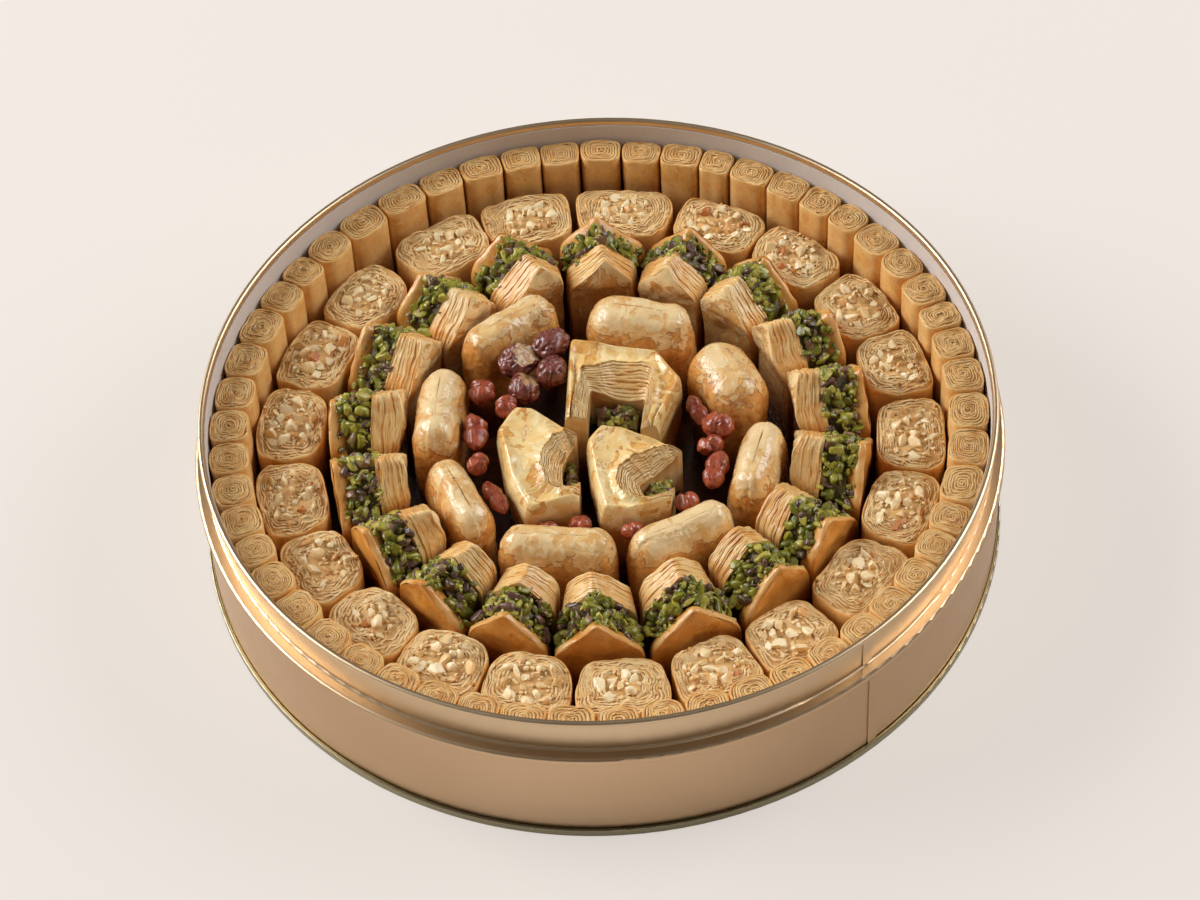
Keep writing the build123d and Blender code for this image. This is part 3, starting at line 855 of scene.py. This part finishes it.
class Square:
    """One pistachio square in the frame of its wedge: X outward, Y across, Z up."""

    def __init__(self, angle, turn, before, after, rng):
        self.middle = angle + (after - before) / 4
        self.half = (after + before) / 4
        self.skew = tangent(turn)
        self.centre = SQUARE_INNER + (PHYLLO + FILLING + CRUST) / 2
        self.offset = self.centre * tangent(angle - self.middle)
        self.seed = rng.uniform(0, 100)
        rng.uniform()           # keeps the order of the later draws

    def ridge(self, x):
        return self.offset + (x - self.centre) * self.skew

    def side(self, x):
        return x * tangent(self.half) - 0.45

    def profile(self, x, inset=0.0, lower=0.0):
        """A closed ring of points of the house shape at distance x."""
        top, ridge, side = RIDGE_TOP + 0.9 - lower - inset * 1.4, self.ridge(x), self.side(x) - inset
        left, right = top - (ridge + side), top - (side - ridge)
        y = np.concatenate([np.full(7, -side), np.linspace(-side, ridge, 16)[1:],
                            np.linspace(ridge, side, 16)[1:], np.full(6, side)])
        z = np.concatenate([np.linspace(FLOOR, left, 7), np.linspace(left, top, 16)[1:],
                            np.linspace(top, right, 16)[1:], np.linspace(right, FLOOR, 7)[1:]])
        ring = np.column_stack([np.full(len(y), x), y, z])
        ring = smoothed(ring, 3, hold=(0, len(y) - 1))
        ring[:, 0] -= 0.35 * self.skew * (ring[:, 1] - ridge)
        return ring

    def warp(self, ring, strength=1.0):
        """The sheets bow toward the middle of the tin and are pinched at the ridge; they wave a little."""
        down = np.clip((RIDGE_TOP - ring[:, 2]) / 22, 0, 1)
        ring = ring.copy()
        back = SQUARE_INNER + PHYLLO
        pinch = 0.72 + 0.25 * np.sin(math.pi * down ** 0.75)
        ring[:, 0] = np.where(ring[:, 0] < back, back - (back - ring[:, 0]) * pinch, ring[:, 0])
        foot = np.clip((ring[:, 2] - 12) / 20, 0, 1)
        wave = 0.9 * noise(ring * [0.25, 1, 1], 7.0, self.seed)
        wave += 0.35 * noise(ring * [0.5, 1, 1], 2.6, self.seed + 5)
        ring[:, 0] += strength * foot * wave * np.where(ring[:, 0] < back - 1, 1.0, 0.45)
        return ring


def capped(bag, square, ring, outward, bulge, mat, seed, tone=0.5, strength=1.0):
    """Closes a ring of a square with a slightly swollen, wavy face."""
    middle = np.array([ring[:, 0].mean(), 0.5 * (ring[:, 1].min() + ring[:, 1].max()), 0.0])
    middle[2] = 0.5 * (ring[:, 2].max() + FLOOR) + 3
    reach, tall = np.ptp(ring[:, 1]) / 2, np.ptp(ring[:, 2]) / 2
    lean = -0.35 * square.skew
    rings = []
    for share in np.concatenate([[1.0, 0.97, 0.93], np.linspace(0.87, 0.06, 13)]):
        layer = middle + (ring - middle) * share
        layer[:, 0] = middle[0] + lean * (layer[:, 1] - middle[1])
        swell = (1 - ((layer[:, 1] - middle[1]) / reach) ** 2) * (1 - ((layer[:, 2] - middle[2]) / tall) ** 2)
        shy = min(1.0, (1 - share) / 0.12)
        wave = 0.7 * noise(layer, 8.0, seed) + 0.3 * noise(layer, 3.0, seed + 1)
        layer[:, 0] += outward * (bulge * np.clip(swell, 0, 1) ** 0.7 + shy * wave)
        rings.append(square.warp(layer, strength))
    rings[0][:, 0] = square.warp(ring, strength)[:, 0]
    rings = np.array(rings)
    if outward < 0:
        rings = rings[:, ::-1]
    bag.loft(rings, mat, local=rings, end=True, tone=tone)


def pistachio_squares():
    """The ring of squares standing on a corner: sheets, filling and amber slab."""
    count = len(RIDGES)
    stack, middle, crust = Bag(), Bag(), Bag()
    for number, (angle, turn) in enumerate(RIDGES):
        rng = np.random.default_rng(300 + number)
        before = (angle - RIDGES[number - 1][0]) % 360
        after = (RIDGES[(number + 1) % count][0] - angle) % 360
        square = Square(angle, turn, before, after, rng)
        starts = [len(stack.points), len(middle.points), len(crust.points)]
        x0 = SQUARE_INNER + 0.4
        x1 = SQUARE_INNER + PHYLLO
        x2 = x1 + FILLING
        x3 = x2 + CRUST - 0.3
        sheets(stack, square, x0, x1, rng)
        filling(middle, square, x1, x2, rng)
        slab(crust, square, x2, x3, rng)
        for bag, first in zip((stack, middle, crust), starts):
            moved(bag, first, 0, 0, square.middle)
    for bag, name, materials, slot, node in (
            (stack, "pistachio_sheets", [STACK, FACE], "phyllo_layers", "pistachio_phyllo"),
            (middle, "pistachio_bits", [GREEN, BED], "pistachio_filling", "pistachio_filling"),
            (crust, "pistachio_amber", [AMBER], "golden_crust", "pistachio_crust")):
        put(bag.object(name, materials), "pistachio_ring", slot, node)


def sheets(bag, square, x0, x1, rng):
    """Many thin sheets side by side, each with its own ragged edge."""
    count = 14
    edges = np.linspace(x0, x1, count + 1)
    edges[1:-1] += rng.uniform(-0.25, 0.25, count - 1)
    rings, tones = [], []
    for index, (near, far) in enumerate(zip(edges[:-1], edges[1:])):
        push = rng.uniform(-0.45, 0.0)
        deep = rng.choice([0.03, 0.14, 0.8], p=[0.6, 0.24, 0.16])
        base = square.profile(near)
        spot = base * [0, 1, 1] + [7.3 * index, 0, 0]
        rag = 0.55 * noise(spot, 6.0, square.seed) + 0.3 * noise(spot, 2.2, square.seed + 1)
        rag += 0.5 * np.minimum(0, noise(spot, 4.0, square.seed + 2) + 0.25)
        open_here = np.clip(0.4 + 1.4 * noise(spot, 7.0, square.seed + 3), 0, 1)
        for part, inset, tone in ((0.0, deep, 1.0), (0.18, 0.08, 0.35), (0.5, 0.0, 0.0), (0.86, 0.05, 0.2)):
            ring = square.profile(near + (far - near) * part, max(0.0, -push))
            sink = np.where(inset > 0.1, inset * open_here, inset)
            ring[UPPER, 2] += (rag - 0.35 - sink)[UPPER]
            side = np.sign(ring[:, 1] - square.offset)
            ring[:, 1] -= side * (0.3 * sink + 0.12 * np.maximum(0, rag))
            rings.append(square.warp(ring))
            # the tone is high where a gap between sheets is deep and open; the shader paints shade there
            tones.append(np.where(inset > 0.1, tone * open_here, tone * 0.4))
    rings[0] = square.warp(square.profile(x0, 0.7))
    rings.append(square.warp(square.profile(x1, 0.4)))
    tones.append(np.full(len(rings[0]), 0.5))
    bag.loft(rings, 0, local=rings, tone=np.array(tones).reshape(-1))
    capped(bag, square, square.profile(x0, 0.7), -1, rng.uniform(0.2, 0.9), 1, square.seed)
    capped(bag, square, square.profile(x1, 0.4), 1, 0.0, 0, square.seed)


SQUARE_BITS, SQUARE_LARGE = 124, 64     # pieces in the filling of a square; the first are large


def filling(bag, square, x1, x2, rng):
    """Chopped pistachios, heaped up to the edges of the layers beside them."""
    bed = np.array([square.profile(x, 1.9, 0.9) for x in np.linspace(x1 - 0.4, x2 + 0.4, 8)])
    bed[:, UPPER, 2] += 1.0 * noise(bed, 2.6, square.seed)[:, UPPER]
    bag.loft(bed, 1)
    purple = rng.uniform(0.16, 0.34)
    for index in range(SQUARE_BITS):
        large = index < SQUARE_LARGE
        x = rng.uniform(x1 - 0.3, x2 + 3.6) if large else rng.uniform(x1 - 0.8, x2 + 4.6)
        side, ridge = square.side(x), square.ridge(x)
        y = rng.uniform(-side + 1.2, side - 1.2)
        size = rng.uniform(4.2, 8.2 - 1.0 * max(0.0, x - x2)) if large else rng.uniform(1.8, 3.8)
        thin = rng.uniform(0.45, 0.72)
        z = RIDGE_TOP + 0.5 - abs(y - ridge) - rng.uniform(0.4, 2.0)
        z -= size * thin * 0.3 + 0.35 * max(0.0, x - x2)
        x -= 0.35 * square.skew * (y - ridge)
        tone = rng.uniform(0.74, 1.0) if rng.uniform() < purple else rng.uniform(0.0, 0.64)
        chunk(bag, [x, y, z], (size, size * thin, size * rng.uniform(0.4, 0.6)),
              rng, 0, tone, cuts=9, level=3 if large else 2, rough=0.07)
    for _ in range(rng.integers(5, 14)):
        x = rng.uniform(x2 + 0.8, x2 + 5)
        y = rng.uniform(-0.8, 0.8) * square.side(x)
        size = rng.uniform(1.2, 3.4)
        z = RIDGE_TOP - 1.2 - abs(y - square.ridge(x))
        chunk(bag, [x, y, z], (size, size * 0.6, size * 0.45), rng, 0, rng.uniform(0.1, 0.62), level=2)


def slab(bag, square, x2, x3, rng):
    """The amber outer slab, crumbly along its upper edges."""
    rings, tones = [], []
    for step in (0.0, 0.12, 0.35, 0.7, 1.1, 1.6, 2.1, 2.6, 3.1, 3.6, 4.1, 4.6, 5.1, 5.5, 5.8, x3 - x2):
        x = x2 + step
        edge = min(step, x3 - x2 - step)
        ring = square.profile(x, 0.6 * math.exp(-edge / 0.35) + 0.12, 0.7 + 0.9 * max(0.0, 4.3 - step))
        rag = 0.6 * noise(ring, 6.0, square.seed + 2) + 0.35 * noise(ring * [3, 1, 1], 2.4, square.seed + 3)
        rag += 0.15 * noise(ring * [2, 1, 1], 1.0, square.seed + 4)
        upper = np.clip((ring[:, 2] - 30) / 10, 0, 1)
        ring[:, 2] += (rag - 0.25) * upper
        ring[:, 0] += 0.5 * upper * noise(ring * [0.1, 1, 1], 5.0, square.seed + 6)
        rings.append(square.warp(ring, 0.6))
        top = np.clip((ring[:, 2] - (RIDGE_TOP - 1.5 - np.abs(ring[:, 1] - square.ridge(x)))) / 1.5, 0, 1)
        tones.append(0.75 * top * np.clip(0.6 + rag, 0, 1))
    bag.loft(rings, 0, tone=np.array(tones).reshape(-1))
    capped(bag, square, square.profile(x2, 0.7, 4.5), -1, 0.1, 0, square.seed, 0.0, 0.6)
    capped(bag, square, square.profile(x3, 0.7, 0.7), 1, rng.uniform(0.0, 0.25), 0, square.seed + 4, 0.0, 0.6)


# Pillow rolls
def stadium(length, width, corner, count):
    """Points of a rounded rectangle, evenly spaced."""
    corner = min(corner, width / 2 - 1e-3)
    points = []
    for cx, cy, start in ((1, 1, 0), (-1, 1, 90), (-1, -1, 180), (1, -1, 270)):
        for step in np.linspace(0, 90, 16):
            t = math.radians(start + step)
            points.append((cx * (length / 2 - corner) + corner * math.cos(t),
                           cy * (width / 2 - corner) + corner * math.sin(t)))
    points = np.array(points + points[:1])
    along = np.concatenate([[0], np.cumsum(np.linalg.norm(np.diff(points, axis=0), axis=1))])
    want = np.linspace(0, along[-1], count, endpoint=False)
    return np.column_stack([np.interp(want, along, points[:, 0]), np.interp(want, along, points[:, 1])])


PILLOW_FOOT, PILLOW_SHOULDER = 0.84, 38.0       # width at the foot as a share; top of the sides
PILLOW_PALE = (0.2, -0.05, 0.4, 0.4, 0.25, 0.3, 0.4, 0.15)      # share of pale sheets of each roll


def pillow_rings(length, width, cols=190):
    """A bar with round ends: sides that lean in toward the foot, then a rounded top."""
    rings = []
    for step in np.linspace(0, 1, 14):
        scale = PILLOW_FOOT + (1 - PILLOW_FOOT) * math.sin(step * math.pi / 2)
        narrow = width * (1 - scale)
        ring = stadium(length - narrow, width - narrow, 0.48 * width * scale, cols)
        rings.append(np.column_stack([ring, np.full(cols, FLOOR + (PILLOW_SHOULDER - FLOOR) * step)]))
    for step in np.linspace(0, 1, 40)[1:]:
        turn = step * math.pi / 2
        inset = (width / 2 - 0.3) * (1 - math.cos(turn) ** 0.86)
        ring = stadium(length - 1.8 * inset, width - 2 * inset, 0.48 * width - inset * 0.94, cols)
        level = PILLOW_SHOULDER + (PILLOW_TOP - PILLOW_SHOULDER) * math.sin(turn) ** 0.9
        rings.append(np.column_stack([ring, np.full(cols, level)]))
    return np.array(rings)


def normals(rings):
    """Unit vectors that point out of a grid of rings."""
    around = np.roll(rings, -1, 1) - np.roll(rings, 1, 1)
    normal = np.cross(around, np.gradient(rings, axis=0))
    return normal / np.maximum(np.linalg.norm(normal, axis=-1, keepdims=True), 1e-6)


def pillow_rolls():
    """Closed glazed rolls: rounded bars with dents, creases and a lapped outer sheet."""
    for number, (name, (x, y, direction, length, width)) in enumerate(PILLOWS.items()):
        rng = np.random.default_rng(400 + number)
        seed = rng.uniform(0, 90)
        length, width = length - 0.6, width - 0.6
        rings = pillow_rings(length, width)
        along, across = rings[..., 0] / (length / 2), rings[..., 1] / (width / 2)
        lift = np.clip((rings[..., 2] - 25) / 20, 0, 1)
        rings[..., 2] -= lift * (0.9 * along ** 2 + 0.9 * (noise(rings * [1, 0, 0], 13.0, seed) + 0.4))
        rings[..., 1] += rng.uniform(-0.7, 0.7) * (along ** 2 - 0.4) * lift
        crease = np.exp(-np.abs(noise(rings * [0.45, 1, 1], 5.5, seed + 2)) / 0.09)
        lapped = across - rng.uniform(-0.3, 0.3) - 0.22 * noise(rings * [1, 0, 0.3], 5.0, seed + 4)
        lapped -= 0.06 * noise(rings, 1.4, seed + 5)
        lap = 1 / (1 + np.exp(-lapped * (1 if number % 2 else -1) / 0.012))
        push = sum(share * noise(rings, size, seed + more) for share, size, more in (
            (0.55, 9.0, 6), (0.25, 3.6, 7), (0.07, 1.3, 8)))
        push = push - 0.16 * crease - 0.4 + 0.35 * lap
        ends = np.clip((np.abs(along) - 0.78) / 0.12, 0, 1)
        push = push - ends * 0.45 * np.maximum(noise(rings, 1.8, seed + 9), 0)
        tone = PILLOW_PALE[number] + 0.36 * noise(rings, 8.0, seed + 10) + 0.3 * noise(rings, 3.0, seed + 11)
        tone = np.clip(tone + 0.16 * lap + 0.12 * ends, 0, 1).reshape(-1)
        upper = np.clip((rings[..., 2] - 18) / 14, 0, 1)
        shaped = rings + normals(rings) * (push * upper)[..., None]
        shaped[..., 2] = np.minimum(shaped[..., 2], PILLOW_TOP + 0.9)
        bag = Bag()
        bag.loft(shaped, 0, tone=tone)
        bag.fan(shaped[-1], 0, float(tone[-1]))
        moved(bag, 0, x, y, direction)
        put(bag.object(name + "_glazed", [GLAZE], 0), name, "glazed_pastry", name)


# Pouches
def resampled(points, spacing):
    points = np.array(points + points[:1], float)
    out = []
    for first, second in zip(points[:-1], points[1:]):
        count = max(2, int(np.linalg.norm(second - first) / spacing))
        out += [first + (second - first) * k / count for k in range(count)]
    return np.array(out)


def inward_of(ring):
    """Unit vectors pointing into a plan outline."""
    ahead = np.roll(ring, -1, 0) - np.roll(ring, 1, 0)
    normal = np.column_stack([-ahead[:, 1], ahead[:, 0]])
    normal /= np.maximum(np.linalg.norm(normal, axis=1, keepdims=True), 1e-9)
    area = 0.5 * np.sum(ring[:, 0] * np.roll(ring[:, 1], -1) - np.roll(ring[:, 0], -1) * ring[:, 1])
    return normal if area > 0 else -normal


POUCH_TOPS = {
    # places along the bent stack; width of the band of cut edges, mm; fall of the band, mm
    "pouch_back": ((0, 0.25, 0.36, 0.45, 0.6, 0.7, 0.8, 1), (6, 7, 9, 11, 12, 9, 4.5, 3),
                   (2, 3, 6, 8, 8, 6, 3, 2)),
    "pouch_left": ((0, 0.1, 0.3, 0.5, 0.7, 0.85, 1), (5, 6, 8, 8, 7, 6, 6), (3, 5, 6, 6, 5, 4, 3)),
    "pouch_right": ((0, 0.15, 0.35, 0.6, 0.8, 0.9, 1), (4, 6, 8, 9, 8, 7, 6), (2, 4, 6, 6, 5, 3, 2)),
}


POUCH_WALL, POUCH_BEND = 38.5, 39.5     # where the wall of a pouch ends and its rounding starts
POUCH_SHEETS = 11
LINE_SPACING = 2.2                      # local units of the fine lines for one sheet


def eased(points, count):
    """A path through the given corners, with the corners cut twice, as evenly spaced points."""
    path = np.array(points, float)
    for _ in range(2):
        near = path[:-1] * 0.93 + path[1:] * 0.07
        far = path[:-1] * 0.07 + path[1:] * 0.93
        path = np.vstack([path[:1], np.stack([near, far], 1).reshape(-1, 2), path[-1:]])
    along = np.concatenate([[0], np.cumsum(np.linalg.norm(np.diff(path, axis=0), axis=1))])
    want = np.linspace(0, along[-1], count)
    return np.column_stack([np.interp(want, along, path[:, 0]), np.interp(want, along, path[:, 1])])


class BentStack:
    """Rows of points across a bent stack, from the foot of its outer side to its inner side."""

    def __init__(self, name, outside, inside, seed):
        self.seed, self.count = seed, 210
        self.outer, inner = eased(outside, self.count), eased(inside, self.count)
        self.across = inner - self.outer
        self.width = np.linalg.norm(self.across, axis=1)
        self.along = np.linspace(0, 1, self.count)
        self.flat = np.column_stack([self.outer, np.zeros(self.count)])
        self.ends = np.minimum(1, np.minimum(self.along, 1 - self.along) / 0.05)
        self.top = POUCH_TOP - 0.4 + 0.9 * self.wave(self.flat, 14.0, 1) - 1.6 * (1 - self.ends) ** 2
        if name != "pouch_back":
            self.top = self.top - 0.04 * (self.outer[:, 1].max() - self.outer[:, 1])
        at, bands, falls = POUCH_TOPS[name]
        self.drop = np.interp(self.along, at, falls)
        band = np.interp(self.along, at, bands)
        band = band + 0.9 * self.wave(self.flat, 5.0, 3) + 0.35 * self.wave(self.flat, 1.6, 4)
        self.cover = 1 - np.minimum(band / self.width, 0.62)
        self.rows, self.layer, self.tones = [], [], []

    def wave(self, points, size, own):
        return noise(points, size, self.seed + own)

    def spot(self, share, height):
        """Points at a share of the way from the outer to the inner side."""
        return np.column_stack([self.outer + self.across * share[:, None], height])

    def row(self, share, height, depth=0.0, tone=0.0):
        self.rows.append(self.spot(share, height))
        self.layer.append(depth)
        self.tones.append(np.broadcast_to(tone, self.count))

    def wall(self):
        """The outer side, which leans in toward its foot."""
        for z in (FLOOR, 10, 18, 24, 29, 33, 36, POUCH_WALL):
            lean = (0.7 + 0.9 * self.wave(self.flat + [0, 0, z], 9.0, 2)) / self.width
            lean = lean + np.minimum(3.0 / self.width, 0.3) * (1 - z / POUCH_WALL) ** 0.7
            self.row(lean + 0.02, np.full(self.count, z))

    def sheet(self):
        """The smooth outer sheet: its rounding at the wall, then the creased top."""
        inset = 0.6 / self.width + 0.02
        bend = np.minimum(3.0, 0.3 * self.width) / self.width
        bend = np.minimum(bend, self.cover - inset - 0.06)
        for turn in np.linspace(0, 1, 12):
            angle = turn * math.pi / 2
            share = inset + bend * (1 - math.cos(angle))
            dent = 0.45 * self.wave(self.spot(share, 20 * share), 5.0, 5)
            height = POUCH_BEND + (self.top - POUCH_BEND) * math.sin(angle) ** 0.9 + dent * turn
            self.row(share, height)
        edge = bend + inset
        for step in np.linspace(0.06, 1, 18):
            share = edge + (self.cover - edge) * step
            spot = self.spot(share, 20 * share)
            fold = np.column_stack([80 * self.along, 9 * share, 0 * self.along])
            fold = np.exp(-np.abs(self.wave(fold, 8.0, 15)) / 0.09)
            sag = -1.3 * math.sin(math.pi * step) + 0.4 * step ** 4 - 0.55 * fold * math.sin(math.pi * step)
            self.row(share, self.top + sag + 0.6 * self.wave(spot, 6.0, 5) + 0.2 * self.wave(spot, 2.2, 6))

    def cut_edges(self):
        """The band of cut edges, one ridge for each sheet, and the inner side below it."""
        for k in range(POUCH_SHEETS):
            spot = np.column_stack([self.outer, np.full(self.count, 9.0 * k)])
            own = 0.4 * self.wave(spot, 6.0, 8) + 0.16 * self.wave(spot, 2.0, 9)
            gap = 0.22 + 0.7 * np.maximum(self.wave(spot, 6.0, 10), 0)
            wander = 0.3 / POUCH_SHEETS * self.wave(spot, 6.0, 12)
            for part, sink in ((0.04, 1.0), (0.14, 0.25), (0.3, 0.0), (0.6, 0.0), (0.82, 0.2), (0.95, 1.0)):
                inward = np.clip((k + part) / POUCH_SHEETS + wander, 0, 1)
                share = self.cover + 0.008 + (0.985 - self.cover) * inward
                height = self.top - 0.2 - self.drop * inward ** 1.3 * self.ends + own - gap * sink
                # the sink is also the tone, which paints shade at the bottom of each gap
                self.row(share, height, 1.0 + LINE_SPACING * (k + part), sink)
        for z in (42, 39, 35, 30):
            # tone 0.4 paints shade on the inner side
            self.row(np.full(self.count, 0.99), np.minimum(self.top - self.drop - 1.0, z), 26.0, 0.4)

    def surface(self, bag, skin):
        """Joins the rows; the first ones are smooth sheet, and each end is closed to the floor."""
        grid = np.array(self.rows)
        local = np.zeros_like(grid)
        local[..., 0] = np.array(self.layer)[:, None]
        local[..., 1] = self.along[None, :] * 80
        local[..., 2] = grid[..., 2]
        smooth = np.repeat(np.arange(len(grid) - 1), self.count - 1) < skin
        bag.loft(grid, np.where(smooth, 1, 0), local, np.array(self.tones).reshape(-1), closed=False)
        for column, order in ((0, 1), (-1, -1)):
            face = grid[:, column]
            foot = face.copy()
            foot[:, 2] = FLOOR
            depth = local[:, column].copy()
            depth[:, 0] = np.linalg.norm(face[:, :2] - self.outer[column], axis=1) * LINE_SPACING
            bag.loft(np.stack([face, foot])[::order], 0, np.stack([depth, depth]), 0.1, closed=False)


def pouches():
    """Bent stacks: smooth outer sheet over the top, then a band of cut edges that falls to the fold."""
    for number, (name, (outside, inside)) in enumerate(POUCHES.items()):
        stack = BentStack(name, outside, inside, np.random.default_rng(500 + number).uniform(0, 90))
        stack.wall()
        stack.sheet()
        skin = len(stack.rows) - 1
        stack.cut_edges()
        bag = Bag()
        stack.surface(bag, skin)
        put(bag.object(name + "_folded", [FOLD, SHEET], 50), name, "folded_sheets", name)


POUCH_BITS = 46             # pieces in the filling of a pouch


def fillings():
    """Chopped nuts on a bed in the open pockets of the pouches."""
    for number, (name, points) in enumerate(FILLINGS.items()):
        rng = np.random.default_rng(600 + number)
        ring = resampled(points, 1.2)
        inward = inward_of(ring)
        bag = Bag()
        heights = (FLOOR, 20, 30, FILL_TOP - 1.5)
        rings = [np.column_stack([ring + inward * 0.8, np.full(len(ring), z)]) for z in heights]
        bag.loft(rings, 1, end=True)
        low, high = np.min(points, 0), np.max(points, 0)
        middle = np.mean(points, 0)
        for _ in range(POUCH_BITS):
            spot = rng.uniform(low + 1.2, high - 1.2)
            spot = middle + (spot - middle) * 0.85
            size = rng.uniform(2.4, 5.4)
            tone = rng.uniform(0.74, 1.0) if rng.uniform() < 0.4 else rng.uniform(0.0, 0.6)
            place = [*spot, FILL_TOP - 1.5 + rng.uniform(-0.5, 1.6)]
            chunk(bag, place, (size, size * 0.7, size * 0.6), rng, 0, tone)
        body = name.replace("_filling", "")
        put(bag.object(name + "_nuts", [GREEN, BED]), body, "nut_filling", name)


# Loose nuts
WALNUT_BROKEN = (1, 3)      # walnut pieces with a broken face


def sliced(points, normal, level, share):
    """Presses a ball in behind a plane; gives back how far each point stood over it."""
    normal = normal / np.linalg.norm(normal)
    over = np.maximum(points @ normal - level, 0)
    points -= share * over[:, None] * normal
    return over


def walnut(points, number, seed):
    """Deep folds, and on some pieces a broken face that shows the pale inside."""
    folds = np.abs(noise(points * 10, 4.4, seed)) + 0.25 * np.abs(noise(points * 10, 2.0, seed + 1))
    crease = np.exp(-folds / 0.14)
    points *= (1.12 - 0.26 * crease + 0.18 * noise(points * 10, 7.0, seed + 2))[:, None]
    # the tone falls in the folds, where the skin shader paints shade
    tone = 0.6 - 0.5 * crease
    if number in WALNUT_BROKEN:
        level = 0.72 - 0.14 * noise(points * 10, 3.0, seed + 3)
        over = sliced(points, np.array([0.5, -0.35, 0.8]), level, 0.8)
        tone = np.where(over > 0.01, 1.0, tone)
    return tone


def peanut(points, rng, seed):
    """An oval with flat sides, a waist and fine creases."""
    for _ in range(5):
        sliced(points, rng.normal(size=3), rng.uniform(0.72, 0.88), 0.8)
    waist = np.exp(-((points[:, 0] - rng.uniform(-0.2, 0.2)) / 0.2) ** 2)
    points[:, 1:] *= (1 - 0.2 * waist)[:, None]
    crease = np.exp(-np.abs(noise(points * [4, 10, 10], 5.0, seed)) / 0.08)
    points *= (1.03 - 0.06 * crease + 0.05 * noise(points * 10, 6.0, seed + 2))[:, None]
    # the tone falls in the creases and at the waist, where the skin shader paints shade
    return 0.6 - 0.35 * crease - 0.2 * waist


def loose_nuts():
    """Walnuts and peanuts, each kind in one piece."""
    for name, places, material, slot in (
            ("walnuts", WALNUTS, WALNUT, "walnut"), ("peanuts", PEANUTS, PEANUT, "peanut")):
        bag = Bag()
        for number, (x, y, direction, length, width, below) in enumerate(places):
            rng = np.random.default_rng(700 + number + (50 if name == "walnuts" else 0))
            seed = rng.uniform(0, 60)
            points, faces = BALLS[5]
            points = points.copy()
            tone = walnut(points, number, seed) if name == "walnuts" else peanut(points, rng, seed)
            points = points * [length / 2 + 0.3, width / 2 + 0.4, width / 2 + 0.4]
            points[:, 2] += TIN_HEIGHT - below - width / 2
            bag.add(turned(points, x, y, direction), faces, 0, None, np.clip(tone, 0, 1))
        put(bag.object(name + "_glazed", [material], 0), "nuts", slot, name)


# Tin, which keeps its CAD nodes
def dress(node, material):
    """Gives a CAD node its material."""
    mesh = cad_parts[node].data
    mesh.materials.clear()
    mesh.materials.append(material)


dress("tin_wall", GOLD)
dress("bottom_end", SEAM)
dress("paper_liner", PAPER)
finger_rolls()
cashew_rolls()
pistachio_squares()
pillow_rolls()
pouches()
fillings()
loose_nuts()


# Floor, light and camera
FLOOR_GLOW = 0.68           # share of the floor that the camera sees at its own colour


def floor():
    """A wide pale floor that keeps the shadow of the tin."""
    mesh = bpy.data.meshes.new("studio_floor")
    reach = 6.0
    corners = [(-reach, -reach, 0), (reach, -reach, 0), (reach, reach, 0), (-reach, reach, 0)]
    mesh.from_pydata(corners, [], [(0, 1, 2, 3)])
    thing = bpy.data.objects.new("studio_floor", mesh)
    bpy.context.scene.collection.objects.link(thing)
    s = Shader("studio_floor", Roughness=1.0)
    s.bsdf.inputs["Specular IOR Level"].default_value = 0.0
    s.bsdf.inputs["Base Color"].default_value = (0.86, 0.80, 0.745, 1)
    glow = s.node("ShaderNodeEmission")
    glow.inputs["Color"].default_value = rgb(238, 230, 222)
    seen = s.node("ShaderNodeLightPath").outputs["Is Camera Ray"]
    both = s.node("ShaderNodeMixShader")
    s.feed(both.inputs[0], s.times(seen, FLOOR_GLOW))
    s.feed(both.inputs[1], s.bsdf.outputs[0])
    s.feed(both.inputs[2], glow.outputs[0])
    s.feed(s.tree.nodes["Material Output"].inputs["Surface"], both.outputs[0])
    mesh.materials.append(s.mat)


def softbox(name, place, width, height, watts):
    """A rectangular lamp that points at the tin."""
    data = bpy.data.lights.new(name, "AREA")
    data.shape = "RECTANGLE"
    data.size, data.size_y = width, height
    data.energy = watts
    data.color = (0.985, 0.985, 0.99)
    thing = bpy.data.objects.new(name, data)
    thing.location = place
    thing.rotation_mode = "QUATERNION"
    thing.rotation_quaternion = (Vector((0, 0, 0.03)) - Vector(place)).to_track_quat("-Z", "Y")
    bpy.context.scene.collection.objects.link(thing)


def studio():
    world = bpy.data.worlds.new("studio")
    bpy.context.scene.world = world
    world.use_nodes = True
    back = world.node_tree.nodes["Background"]
    back.inputs["Color"].default_value = (1.0, 0.96, 0.92, 1)
    back.inputs["Strength"].default_value = 0.13
    softbox("left_box", (-1.85, 0.5, 1.2), 1.8, 1.2, 60)
    softbox("right_box", (1.8, 0.4, 1.35), 1.7, 1.4, 38)


def camera():
    data = bpy.data.cameras.new("camera")
    data.sensor_width = 36.0
    data.lens = 105.0
    data.clip_start, data.clip_end = 0.05, 20.0
    thing = bpy.data.objects.new("camera", data)
    thing.location = (0.0, -0.80329, 0.98232)
    thing.rotation_mode = "XYZ"
    thing.rotation_euler = [math.radians(v) for v in (40.1546, 2.2628, -2.6779)]
    bpy.context.scene.collection.objects.link(thing)
    bpy.context.scene.camera = thing


floor()
studio()
camera()
bpy.context.scene.view_settings.view_transform = "Standard"
